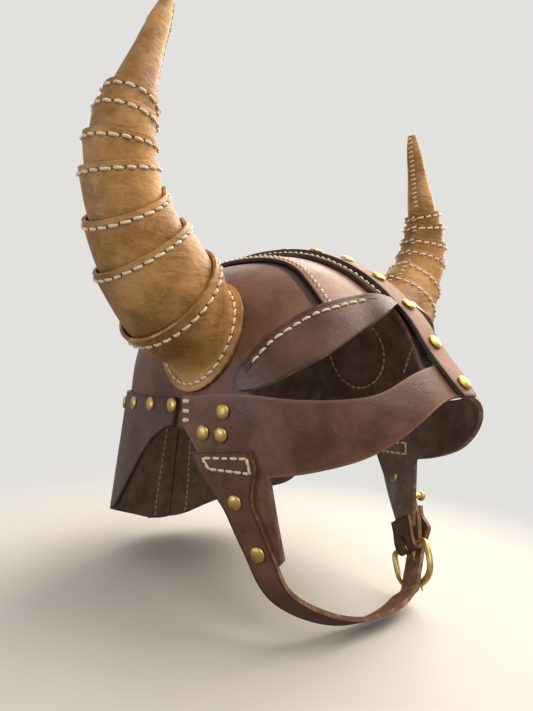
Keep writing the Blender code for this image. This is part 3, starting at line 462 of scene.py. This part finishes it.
def cut_edge(name, body, bright):
    """The cut through the hide, rubbed with wax: dark layers of packed fibre, half shiny."""
    made, tree, shader = new_material(name)
    worn = noise(tree, put(tree, "TexCoord").outputs["Object"], EDGE_WEAR, 6.0, 0.75)
    colour = mixed(tree, ranged(tree, worn, 0.45, 0.68), linear(body), linear(bright))
    tree.links.new(colour, shader.inputs["Base Color"])
    shader.inputs["Roughness"].default_value = 0.55
    bumped(tree, shader, 0.4, 0.0003, worn)
    return made


chestnut = dyed_hide("waxed_chestnut_cowhide", "#714e40", "#55382d", "#957060")
chestnut_back = flesh_side("chestnut_flesh_side", "#746257", "#9a897c")
dark_edge = cut_edge("burnished_dark_edge", "#2e1f1a", "#5b4234")
tan_edge = cut_edge("burnished_tan_edge", "#6b4a36", "#b08a68")
margin_hide = dyed_hide("waxed_chestnut_cowhide_dark_margin", "#805a4a", "#603f33", "#a07a68",
                        margin=7.0)
side_panels = [leather(f"side_panel_{side}", (margin_hide, chestnut_back, dark_edge))
               for side, _ in HANDS]


# Neck guard: two flaps of the same cowhide, painted a colder plum brown for the cool shade
# that they hang in. They hang from the rim of the dome, each held by six rivets, and butt at
# the back.
# Painted cool shade: the neck guard's colder plum tint stands for the shade that it hangs in.
neck_hide_painted_cool_shade = dyed_hide("waxed_cowhide_painted_cool_shade", "#67504b", "#4d3a37", "#866c6b")
neck_guards = [leather(f"neck_guard_{side}", (neck_hide_painted_cool_shade, chestnut_back, dark_edge))
               for side, _ in HANDS]


# Top panels: a second, polished layer on each side of the ridge, saddle-stitched along its
# outer edge with waxed linen thread.
STITCH_SIDES, STITCH_RINGS = 8, 6
STITCH_DROP, STITCH_LIFT = 2.4, 0.28
HOLE_SIDES, HOLE_SHARE, HOLE_LIFT, HOLE_DOME = 6, 0.22, 0.00004, 0.00003
PLY_LEAN = 0.7
ROW_FLAT_MM, ROW_SHARE = 0.75, 0.90
ROW_GAP = 0.012
SEAM_REACH, GROOVE_REACH = 0.012, 0.006
START_IN, REACH_IN = 0.001, 0.016
OUTER_HALF, OUTER_LOW = 0.024, 0.012


def model_stitch():
    """One thread loop lying along X, 1 long and 1 thick, its ends drawn down into the holes."""
    deselect()
    bpy.ops.mesh.primitive_uv_sphere_add(segments=STITCH_SIDES, ring_count=STITCH_RINGS,
                                         radius=0.5)
    made = bpy.context.object
    for vertex in made.data.vertices:
        along, over = vertex.co.z, vertex.co.x
        fuller = (0.25 - along * along) ** 0.5 * 2 if abs(along) < 0.5 else 0
        swell = fuller ** -0.45 if fuller > 0.2 else 1
        vertex.co = Vector((along, vertex.co.y * swell,
                            over * swell - STITCH_DROP * along * along))
    layer = made.data.uv_layers.active.data
    shape = ([vertex.co.copy() for vertex in made.data.vertices],
             [tuple(reversed(face.vertices[:])) for face in made.data.polygons],
             [[layer[number].uv.copy() for number in reversed(face.loop_indices)]
              for face in made.data.polygons])
    bpy.data.objects.remove(made)
    return shape


STITCH = model_stitch()


def waxed_thread(name, body, ply_shade_and_soil):
    """Waxed linen thread: two plies twisted together, cream and a little soiled; painted shade
    darkens the grooves between the plies.
    """
    made, tree, shader = new_material(name)
    along = put(tree, "UVMap", {"uv_map": "thread"}).outputs["UV"]
    leaned = put(tree, "Mapping", Vector=along, Rotation=(0, 0, PLY_LEAN))
    twist = put(tree, "TexWave", {"bands_direction": "X"}, Vector=leaned.outputs[0], Scale=1.6,
                Distortion=0.4).outputs["Fac"]
    soil = put(tree, "TexNoise", Vector=put(tree, "TexCoord").outputs["Object"],
               Scale=1 / 0.006, Detail=3.0).outputs["Fac"]
    # Painted shade: the grooves between the twisted plies are darkened; the soil below is real
    # dirt.
    colour = mixed(tree, ranged(tree, twist, 0.0, 0.55, 0.45, 0.0), linear(body), linear(ply_shade_and_soil))
    colour = mixed(tree, ranged(tree, soil, 0.54, 0.78, 0.0, 0.4), colour, linear(ply_shade_and_soil))
    tree.links.new(colour, shader.inputs["Base Color"])
    shader.inputs["Roughness"].default_value = 0.6
    bumped(tree, shader, 0.5, 0.0002, twist)
    return made


thread = waxed_thread("waxed_linen_thread", "#fbeed6", "#c6a97e")
# The awl-hole discs are near-black painted shadow, using the cut-edge shader.
hole_dark = cut_edge("awl_hole_shadow", "#160e0b", "#241712")


def inset_row(piece, loop, inset):
    """Points on the grain side at a distance inside a rim line, in order round it."""
    mesh = piece.data
    edge = mesh.attributes["edge_mm"].data
    flat = BVHTree.FromPolygons(
        [vertex.co for vertex in mesh.vertices],
        [face.vertices[:] for face in mesh.polygons if face.material_index == GRAIN
         and min(edge[number].value for number in face.vertices) > ROW_FLAT_MM])
    tree = side_tree(piece)
    rims = near_tree(loop)
    row = []
    for number, point in enumerate(loop):
        run = (loop[(number + 2) % len(loop)] - loop[number - 2]).normalized()
        near, normal, _, _ = flat.find_nearest(point)
        inward = normal.cross(run).normalized()
        if inward.dot(near - point) < 0:
            inward = -inward
        place = tree.find_nearest(point + inward * inset)[0]
        if rims.find(place)[2] > inset * ROW_SHARE:
            row.append(place)
    return row


def kept_runs(row, keep):
    """The stretches of a closed row that are kept, each a list of points; gaps break them."""
    if keep is None:
        return [row + row[:1]]
    flags = [keep(point) for point in row]
    if all(flags):
        return [row + row[:1]]
    start = flags.index(False)
    runs, run = [], []
    for step in range(1, len(row) + 1):
        number = (start + step) % len(row)
        if flags[number] and (not run or (row[number] - run[-1]).length < ROW_GAP):
            run.append(row[number])
        else:
            if len(run) > 2:
                runs.append(run)
            run = [row[number]] if flags[number] else []
    if len(run) > 2:
        runs.append(run)
    return runs


def eased_line(points):
    """A line with its small kinks taken out; its ends stay."""
    for _ in range(3):
        points = [points[0]] + [
            (before + here * 2 + after) / 4
            for before, here, after in zip(points, points[1:], points[2:])
        ] + [points[-1]]
    return points


def stations(points, pitch):
    """Evenly spaced places along a line, half a pitch in from its ends: (point, direction)."""
    whole = run_length(points)
    count = max(round(whole / pitch), 1)
    wanted = [(number + 0.5) * whole / count for number in range(count)]
    places, gone = [], 0
    for before, after in zip(points, points[1:]):
        span = (after - before).length
        while wanted and span > 0 and wanted[0] <= gone + span:
            share = (wanted.pop(0) - gone) / span
            places.append((before.lerp(after, share), (after - before).normalized()))
        gone += span
    return places


def sew(name, stops, length, thick, slant=0.0):
    """One object of stitches, each with a painted shadow disc for its awl hole at both ends.

    Stops are (point, direction, normal), one for each stitch.
    """
    points, faces, corners, kinds = [], [], [], []
    shape, shape_faces, shape_corners = STITCH
    for number, (place, run, normal) in enumerate(stops):
        run = (run - normal * run.dot(normal)).normalized()
        across = normal.cross(run)
        run, across = (run * math.cos(slant) + across * math.sin(slant),
                       across * math.cos(slant) - run * math.sin(slant))
        wobble = 1 + 0.10 * math.sin(number * 2.4) + 0.06 * math.sin(number * 5.1)
        start = len(points)
        for spot in shape:
            points.append(place + run * spot.x * length * wobble + across * spot.y * thick
                          + normal * (spot.z + STITCH_LIFT) * thick * (2 - wobble))
        faces += [tuple(start + corner for corner in face) for face in shape_faces]
        corners += shape_corners
        kinds += [0] * len(shape_faces)
        for end in (-0.5, 0.5):
            middle = place + run * end * length * wobble * 1.02 + normal * HOLE_LIFT
            start = len(points)
            turns = [corner * 2 * math.pi / HOLE_SIDES for corner in range(HOLE_SIDES)]
            ring = [run * math.cos(turn) * thick * HOLE_SHARE
                    + across * math.sin(turn) * thick * HOLE_SHARE for turn in turns]
            points += [middle + step for step in ring] + [middle + normal * HOLE_DOME]
            faces += [(start + turn, start + (turn + 1) % HOLE_SIDES, start + HOLE_SIDES)
                      for turn in range(HOLE_SIDES)]
            corners += [[Vector((0, 0))] * 3] * HOLE_SIDES
            kinds += [1] * HOLE_SIDES
    mesh = bpy.data.meshes.new(name)
    mesh.from_pydata(points, [], faces)
    layer = mesh.uv_layers.new(name="thread").data
    flat_corners = [corner for face in corners for corner in face]
    for place, corner in enumerate(flat_corners):
        layer[place].uv = corner
    mesh.materials.append(thread)
    mesh.materials.append(hole_dark)
    for face, kind in zip(mesh.polygons, kinds):
        face.material_index = kind
        face.use_smooth = True
    made = linked(name, mesh)
    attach(made, "helmet")


def sew_edge(name, piece, loops, inset, pitch, length, thick, keep=None, slant=0.0):
    """Saddle stitches along a rim, with their groove marked on the piece."""
    tree = side_tree(piece)
    stops, marks = [], []
    for loop in loops:
        for run in kept_runs(inset_row(piece, loop, inset), keep):
            run = eased_line(run)
            marks += run
            for point, way in stations(run, pitch):
                near, normal, _, _ = tree.find_nearest(point)
                stops.append((near, way, normal))
    near_row = near_tree(marks)
    edge, seam, sewn = (piece.data.attributes[kind].data for kind in ("edge_mm", "seam_mm", "sewn"))
    for number, vertex in enumerate(piece.data.vertices):
        reach = near_row.find(vertex.co)[2]
        if reach < SEAM_REACH:
            seam[number].value = edge[number].value - inset * MM
        if reach < GROOVE_REACH:
            sewn[number].value = 1.0
    sew(name, stops, length, thick, slant)
    return stops


def sew_inside(name, stops, layers, length, thick):
    """The same stitches where they come out on the flesh side of the layers below."""
    trees = [side_tree(layer, FLESH) for layer in layers]
    inner = []
    for place, way, normal in stops:
        found = [tree.ray_cast(place - normal * START_IN, -normal, REACH_IN) for tree in trees]
        found = [hit for hit in found if hit[0] is not None]
        if found:
            hit = max(found, key=lambda hit: hit[3])
            inner.append((hit[0], way, hit[1]))
    if inner:
        sew(name, inner, length, thick)


crown = dyed_hide("polished_chestnut_cowhide", "#b08775", "#86604f", "#d3b09c", shine=0.50,
                  wax=0.45)
for side, hand in HANDS:
    piece = leather(f"top_panel_{side}", (crown, chestnut_back, dark_edge))
    stops = sew_edge(f"top_panel_stitches_{side}", piece, rim_loops(piece)[:1], inset=0.0038,
                     pitch=0.0052, length=0.0048, thick=0.0018, slant=0.12 * hand,
                     keep=lambda point: abs(point.x) > OUTER_HALF and point.z > OUTER_LOW)
    sew_inside(f"top_panel_stitches_inside_{side}", stops, side_panels,
               length=0.0047, thick=0.0014)
    outer_line = near_tree([point for point in rim_loops(piece)[0] if abs(point.x) > OUTER_HALF])
    for panel in side_panels:
        beside = [outer_line.find(vertex.co)[2] * MM for vertex in panel.data.vertices]
        old = panel.data.attributes.get("margin_mm")
        if old:
            beside = [min(new, kept.value) for new, kept in zip(beside, old.data)]
        else:
            old = panel.data.attributes.new("margin_mm", "FLOAT", "POINT")
        old.data.foreach_set("value", beside)


# Face mask: one band of the same cowhide from ear to ear under the eyes, with a tab down
# each cheek, its edges left lighter where the wax has rubbed off.
mask_hide = dyed_hide("waxed_chestnut_cowhide_rubbed_edge", "#835d4d", "#5e3e32", "#a07a68",
                      burnish=0.4, edge="#9a7a62")
face_mask = leather("face_mask", (mask_hide, chestnut_back, tan_edge))


# Brows: crescents of the same cowhide over the eyes, with a scribed line beside the row of
# stitches that holds their upper edge to the dome. The lower rim is left pale.
PALE_RIM = 3
BROW_INSET = 0.0055
BROW_END = 0.008
SAME_PLACE = 0.0002


def top_of_brow(row):
    """The part of a row round the crescent that follows its upper edge, short of both ends."""
    front = min(range(len(row)), key=lambda number: row[number].y)
    turned = row[front:] + row[:front]
    rear = max(range(len(turned)), key=lambda number: turned[number].y)
    halves = (turned[:rear + 1], turned[rear:] + turned[:1])
    upper = max(halves, key=lambda half: sum(point.z for point in half) / len(half))
    ends = (upper[0], upper[-1])
    return near_tree([point for point in upper
                      if min((point - end).length for end in ends) > BROW_END])


brow_hide = dyed_hide("waxed_chestnut_cowhide_scribed", "#6e4b3d", "#51352b", "#a27c6a",
                      dull=0.38, gloss=0.28, burnish=0.5, grain_depth=1.0, scribed=3.2, wax=0.15)
for side, hand in HANDS:
    piece = leather(f"brow_{side}", (brow_hide, chestnut_back, dark_edge, tan_edge))
    for face in piece.data.polygons:
        if face.material_index == RIM and face.normal.z < -0.2:
            face.material_index = PALE_RIM
    loop = rim_loops(piece)[0]
    top = top_of_brow(inset_row(piece, loop, BROW_INSET))
    stops = sew_edge(f"brow_stitches_{side}", piece, [loop], BROW_INSET, pitch=0.0064,
                     length=0.0058, thick=0.0018, slant=0.10 * hand,
                     keep=lambda point: top.find(point)[2] < SAME_PLACE)
    sew_inside(f"brow_stitches_inside_{side}", stops, side_panels,
               length=0.0055, thick=0.0015)


# Ridge: a dark strip of hide over the seam of the dome, stitched down both sides, with a
# narrower polished crest strap riveted along its middle.
RIDGE_HALF, RIDGE_FRONT, RIDGE_NOSE = 0.008, -0.094, -0.085
RUNS_ALONG = 0.5
ridge_hide = dyed_hide("waxed_black_cowhide", "#3a2a26", "#271c19", "#5c4a44", dull=0.40,
                       gloss=0.32)
ridge = leather("ridge_base", (ridge_hide, chestnut_back, dark_edge, tan_edge))
for face in ridge.data.polygons:
    if face.material_index == RIM and face.center.y < RIDGE_NOSE:
        face.material_index = PALE_RIM
stops = sew_edge("ridge_stitches", ridge, rim_loops(ridge)[:1], inset=0.0030, pitch=0.0052,
                 length=0.0048, thick=0.0016,
                 keep=lambda point: abs(point.x) > RIDGE_HALF and point.y > RIDGE_FRONT)
stops = [stop for stop in stops if abs(stop[1].x) < RUNS_ALONG]
sew_inside("ridge_stitches_inside", stops, side_panels + neck_guards,
           length=0.0047, thick=0.0014)
crest_hide = dyed_hide("polished_rose_cowhide", "#a57c6b", "#8c6656", "#d2b09c", dull=0.52,
                       gloss=0.44, shine=0.32)
leather("crest_strap", (crest_hide, chestnut_back, dark_edge))


# Chin strap and buckle strap: their heads are stitched to the mask in a small rectangle, the
# free end runs under the chin, through the buckle and up to the stud. Both are cut from one
# thickness of cowhide, and the chin strap shows its raw flesh side.
HEAD_CORNERS = (Vector((0.0904, -0.0184, -0.0269)), Vector((0.0836, -0.0493, -0.0223)),
                Vector((0.0822, -0.0512, -0.0305)), Vector((0.0890, -0.0231, -0.0326)))
HEAD_STITCHES = (5, 2, 5, 2)
BUCKLE_SIDE = 0.05
BILLET_FROM, BILLET_KEPT = -0.080, 0.36


def short_billet(piece):
    """The free end stops just under the stud."""
    for vertex in piece.data.vertices:
        if vertex.co.x > BUCKLE_SIDE and vertex.co.z > BILLET_FROM:
            vertex.co.z = BILLET_FROM + (vertex.co.z - BILLET_FROM) * BILLET_KEPT


# The chin strap's flesh side: brown, flecked orange with painted warm highlights where light
# catches its fibres.
raw_back = flesh_side("raw_flesh_side_painted_warm_glints", "#57442f", "#8f6142")
chin_strap = leather("chin_strap", (chestnut, raw_back, tan_edge), formed=short_billet)
buckle_strap = leather("buckle_strap", (chestnut, chestnut_back, tan_edge))
for piece, (side, hand) in zip((chin_strap, buckle_strap), HANDS):
    tree = side_tree(piece)
    corners = [Vector((corner.x * hand, corner.y, corner.z)) for corner in HEAD_CORNERS]
    stops = []
    for first, second, count in zip(corners, corners[1:] + corners[:1], HEAD_STITCHES):
        for number in range(count):
            near, normal, _, _ = tree.find_nearest(first.lerp(second, (number + 0.5) / count))
            stops.append((near, (second - first).normalized(), normal))
    sew(f"strap_head_stitches_{side}", stops, length=0.0054, thick=0.0018)
    sew_inside(f"strap_head_stitches_inside_{side}", stops, [face_mask],
               length=0.0050, thick=0.0015)


# Cheek lacing: three thick loops of doubled thread that tie the mask's ends to the dome,
# just in front of the neck guard.
LACING = (Vector((0.0902, 0.0028, 0.0045)), Vector((0.0903, 0.0020, -0.0015)),
          Vector((0.0904, 0.0011, -0.0070)))
LACING_START, LACING_REACH = 0.02, 0.03
laced = [side_tree(piece) for piece in [face_mask] + side_panels]
for side, hand in HANDS:
    stops = []
    for place in LACING:
        start = Vector((place.x * hand, place.y, place.z)) + Vector((LACING_START * hand, 0, 0))
        hits = [tree.ray_cast(start, Vector((-hand, 0, 0)), LACING_REACH) for tree in laced]
        near, normal, _, _ = min((hit for hit in hits if hit[0] is not None),
                                 key=lambda hit: hit[3])
        stops.append((near, Vector((0, 1, 0)), normal))
    sew(f"cheek_lacing_{side}", stops, length=0.0066, thick=0.0027, slant=-0.08 * hand)


# Horns: a flared base sewn to the dome, six nested rings and a tip of tan cowhide 2.4 mm
# thick, each ring stitched round its upper rim and closed by a row of cross stitches on its
# inner side.
SEAM_SIDE = Vector((-1.0, -0.10, 0))
SEAM_PITCH, SEAM_STITCH, SEAM_THREAD, SEAM_SLANT = 0.0049, 0.0052, 0.0014, 0.22
SEAM_LOW, SEAM_HIGH = 0.30, 0.86
RING_REACH, TIP_REACH = 0.06, 0.05
ROW_SLANT = 0.12
LIP_OUT, LIP_UP, LIP_WIDE, LIP_DEEP = 0.0034, 0.0016, 0.24, 0.009
KNOB_AT, KNOB_DEEP, KNOB_OUT, KNOB_ROW = 0.81, 0.15, 0.17, 0.003
TIP_STITCHES, TIP_LOW, TIP_SPAN, TIP_RING, TIP_END = 16, 0.16, 0.80, 0.004, 0.006
tan = dyed_hide("antiqued_tan_cowhide", "#d3a268", "#946b35", "#eed3a0", burnish=0.14,
                edge="#7a5428", dull=0.44, gloss=0.30, shine=0.40, creased=3.5, scuffs=0.45)
tan_back = flesh_side("tan_flesh_side", "#6e5232", "#8f6f4a")
horn_edge = cut_edge("burnished_tan_horn_edge", "#946a3c", "#dcb880")
horn_finish = (tan, tan_back, horn_edge)


def middle_of(points):
    """The mean of some points."""
    return sum(points, Vector()) / len(points)


def ends_of(piece):
    """The middles of a ring's upper and lower rims, and the direction between them."""
    middles = sorted((middle_of(loop) for loop in rim_loops(piece)[:2]), key=lambda spot: -spot.z)
    return middles[0], middles[-1], (middles[0] - middles[-1]).normalized()


def seam_way(axis, hand):
    """The direction from a ring's axis to its seam, which faces the other horn."""
    way = Vector((SEAM_SIDE.x * hand, SEAM_SIDE.y, 0))
    return (way - axis * way.dot(axis)).normalized()


def lipped(hand):
    """Draw the upper rim out to a small point where its two ends meet at the seam."""
    def shaped(piece):
        upper, _, axis = ends_of(piece)
        way = seam_way(axis, hand)
        for vertex in piece.data.vertices:
            arm = vertex.co - upper
            height = arm.dot(axis)
            turn = (arm - axis * height).angle(way, math.pi)
            share = (math.exp(-(turn / LIP_WIDE) ** 2)
                     * min(max(1 + height / LIP_DEEP, 0), 1) ** 1.5)
            vertex.co += (way * LIP_OUT + axis * LIP_UP) * share
    return shaped


def knobbed(piece):
    """Fatten the tip just under its blunt end, where the hide is gathered."""
    heights = [vertex.co.z for vertex in piece.data.vertices]
    low, high = min(heights), max(heights)
    rows = {}
    for vertex in piece.data.vertices:
        rows.setdefault(round((vertex.co.z - low) / KNOB_ROW), []).append(vertex.co.copy())
    middles = {row: middle_of(points) for row, points in rows.items()}
    for vertex in piece.data.vertices:
        share = ((vertex.co.z - low) / (high - low) - KNOB_AT) / KNOB_DEEP
        arm = vertex.co - middles[round((vertex.co.z - low) / KNOB_ROW)]
        arm.z = 0
        vertex.co += arm * KNOB_OUT * math.exp(-share * share)


def sew_ring(name, piece, loops, hand, inset=0.0036, pitch=0.0066, length=0.0061,
             thick=0.0019):
    """A row of slanted stitches round the rim of a horn's base or ring."""
    return sew_edge(name, piece, loops, inset, pitch, length, thick, slant=ROW_SLANT * hand)


def sew_seam(name, piece, hand):
    """Cross stitches over the closing seam of a ring."""
    tree = side_tree(piece)
    upper, lower, axis = ends_of(piece)
    way = seam_way(axis, hand)
    count = max(round((upper - lower).length * (SEAM_HIGH - SEAM_LOW) / SEAM_PITCH), 1)
    stops = []
    for number in range(count):
        share = SEAM_LOW + (SEAM_HIGH - SEAM_LOW) * (number + 0.5) / count
        near, normal, _, _ = tree.ray_cast(lower.lerp(upper, share), way, RING_REACH)
        if near is not None:
            normal = normal if normal.dot(way) > 0 else -normal
            stops.append((near, axis.cross(way), normal))
    if stops:
        sew(name, stops, SEAM_STITCH, SEAM_THREAD, SEAM_SLANT * hand)


for side, hand in HANDS:
    base = leather(f"horn_base_{side}", horn_finish)
    loops = rim_loops(base)
    stops = sew_ring(f"horn_base_stitches_{side}", base, loops[:1], hand, inset=0.0046,
                     pitch=0.0060, length=0.0056, thick=0.0018)
    sew_inside(f"horn_base_stitches_inside_{side}", stops, side_panels,
               length=0.0052, thick=0.0015)
    if len(loops) > 1:
        sew_ring(f"horn_mouth_stitches_{side}", base, loops[1:2], hand, inset=0.0058)
    for number in range(1, 7):
        name = f"horn_sleeve_{number}_{side}"
        low, high = (Vector(corner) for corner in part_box(name))
        sleeve = leather(name, horn_finish, heart=(low + high) / 2,
                         formed=lipped(hand))
        loops = sorted(rim_loops(sleeve),
                       key=lambda loop: -sum(point.z for point in loop) / len(loop))
        sew_ring(f"{name}_stitches", sleeve, loops[:1], hand)
        sew_seam(f"{name}_seam", sleeve, hand)
    low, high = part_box(f"horn_tip_{side}")
    tip = leather(f"horn_tip_{side}", horn_finish, formed=knobbed,
                  heart=(Vector(low) + Vector(high)) / 2,
                  grain_too=lambda place: place.z > Vector(high).z - TIP_END)
    tree = side_tree(tip)
    stops = []
    for number in range(TIP_STITCHES):
        share = TIP_LOW + TIP_SPAN * (number + 0.5) / TIP_STITCHES
        level = low[2] + (high[2] - low[2]) * share
        ring = [vertex.co for vertex in tip.data.vertices if abs(vertex.co.z - level) < TIP_RING]
        if ring:
            spot = middle_of(ring)
            spot.z = level
            way = Vector((SEAM_SIDE.x * hand, SEAM_SIDE.y, 0)).normalized()
            near, normal, _, _ = tree.ray_cast(spot, way, TIP_REACH)
            if near is not None:
                normal = normal if normal.x * -hand > 0 else -normal
                stops.append((near, Vector((0, 1, 0)), normal))
    sew(f"horn_tip_seam_{side}", stops, SEAM_STITCH, SEAM_THREAD, SEAM_SLANT * hand)


# Brass: domed caps on the rivets, the buckle's wire frame and prong, and the keeper stud,
# all stamped or drawn brass gone dull with handling.
TARNISH = 0.007
STUD_FOOT, STUD_START, STUD_REACH = 0.0012, 0.004, 0.02
CAP_SIDES, CAP_RADIUS, BURR_RADIUS, BURR_FLAT = 28, 0.0046, 0.0040, 0.45
CAP_RINGS = ((1.0, 0.0), (1.03, 0.0003), (1.0, 0.0008), (0.90, 0.0012), (0.72, 0.0016),
             (0.46, 0.0019), (0.20, 0.0020))
GUARD_RIVETS = ((0.0905, 0.0170, 0.0005), (0.0899, 0.0426, -0.0018), (0.0865, 0.0689, -0.0041),
                (0.0735, 0.0985, -0.0070), (0.0540, 0.1180, -0.0080), (0.0300, 0.1295, -0.0090))
BURR_START, BURR_REACH = 0.0008, 0.014


def old_brass(name, body, dull_body, rough):
    """Drawn or stamped brass, tarnished brown in patches of 7 mm and rough where it is dull."""
    made, tree, shader = new_material(name)
    shader.inputs["Metallic"].default_value = 1.0
    cloud = noise(tree, put(tree, "TexCoord").outputs["Object"], TARNISH, 5.0, 0.65)
    colour = mixed(tree, ranged(tree, cloud, 0.44, 0.74), linear(body), linear(dull_body))
    tree.links.new(colour, shader.inputs["Base Color"])
    tree.links.new(ranged(tree, cloud, 0.35, 0.70, rough, rough + 0.16),
                   shader.inputs["Roughness"])
    bumped(tree, shader, 0.15, 0.0002, cloud)
    return made


def seated_stud(piece):
    """Draw the stud's foot out to the strap that it goes through."""
    strap = side_tree(buckle_strap)
    foot = min(vertex.co.x for vertex in piece.data.vertices)
    for vertex in piece.data.vertices:
        if vertex.co.x < foot + STUD_FOOT:
            start = vertex.co + Vector((STUD_START, 0, 0))
            seat = strap.ray_cast(start, Vector((-1, 0, 0)), STUD_REACH)[0]
            vertex.co.x = seat.x if seat is not None else vertex.co.x


brass = old_brass("dulled_stamped_brass", "#d6b873", "#a98b4c", 0.36)
wire_brass = old_brass("dulled_drawn_brass", "#d8c07e", "#a48b50", 0.34)
for node, body in (("buckle_frame", "buckle_frame"), ("buckle_prong", "buckle_prong"),
                   ("keeper_stud", "helmet")):
    piece = copied(node, node + "_brass")
    piece.data.materials.append(wire_brass)
    if node == "keeper_stud":
        seated_stud(piece)
    applied(piece, "SUBSURF", levels=FINER, render_levels=FINER)
    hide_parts(node)
    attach(piece, body)


def model_cap(radius):
    """A stamped cap: a disc drawn up ring by ring into a low dome with a rolled rim."""
    deselect()
    bpy.ops.mesh.primitive_circle_add(vertices=CAP_SIDES, radius=radius, fill_type="NGON")
    made = bpy.context.object
    bpy.ops.object.mode_set(mode="EDIT")
    bpy.ops.mesh.select_all(action="SELECT")
    for (wide, low), (narrow, high) in zip(CAP_RINGS, CAP_RINGS[1:]):
        bpy.ops.mesh.extrude_region_move(TRANSFORM_OT_translate={"value": (0, 0, high - low)})
        bpy.ops.transform.resize(value=(narrow / wide, narrow / wide, 1),
                                 center_override=(0, 0, high))
    bpy.ops.mesh.poke()
    bpy.ops.mesh.select_all(action="SELECT")
    bpy.ops.mesh.normals_make_consistent(inside=False)
    bpy.ops.object.mode_set(mode="OBJECT")
    bpy.ops.object.shade_smooth()
    made.data.materials.append(brass)
    mesh = made.data
    bpy.data.objects.remove(made)
    return mesh


cap_mesh = model_cap(CAP_RADIUS)
burr_mesh = model_cap(BURR_RADIUS)
burr_mesh.transform(Matrix.Diagonal((1, 1, BURR_FLAT, 1)))


def cap(name, seat, normal, node=None, shape=cap_mesh):
    """A copy of the stamped cap, set square to the leather."""
    mesh = shape.copy()
    mesh.transform(Matrix.Translation(seat) @ normal.to_track_quat("Z", "Y").to_matrix().to_4x4())
    made = linked(name, mesh)
    if node:
        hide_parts(node)
    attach(made, "helmet")


pierced = side_panels + neck_guards + [face_mask, chin_strap, buckle_strap]
inner_sides = [side_tree(piece, FLESH) for piece in pierced]


def burr(name, seat, normal):
    """The clenched end of a rivet, on the innermost hide behind its cap."""
    hits = [tree.ray_cast(seat - normal * BURR_START, -normal, BURR_REACH)
            for tree in inner_sides]
    hits = [hit for hit in hits if hit[0] is not None]
    if hits:
        inner = max(hits, key=lambda hit: hit[3])
        cap(name, inner[0], -normal, shape=burr_mesh)


def rivet_seat(mesh):
    """The middle of a rivet's flat underside, its widest flat, and the way that its cap faces."""
    flats = {}
    for face in mesh.polygons:
        key = tuple(round(part, 2) for part in face.normal)
        area, middle = flats.get(key, (0, Vector()))
        flats[key] = (area + face.area, middle + face.center * face.area)
    under, (area, middle) = max(flats.items(), key=lambda flat: flat[1][0])
    return middle / area, -Vector(under).normalized()


for node in sorted(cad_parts):
    if "rivet" in node:
        seat, normal = rivet_seat(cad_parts[node].data)
        cap(node + "_cap", seat, normal, node)
        burr(node + "_burr", seat, normal)

for (side, hand), guard in zip(HANDS, neck_guards):
    tree = side_tree(guard)
    for number, (out, behind, height) in enumerate(GUARD_RIVETS, 1):
        near, normal, _, _ = tree.find_nearest(Vector((out * hand, behind, height)))
        cap(f"guard_rivet_{number}_{side}_cap", near, normal)
        burr(f"guard_rivet_{number}_{side}_burr", near, normal)
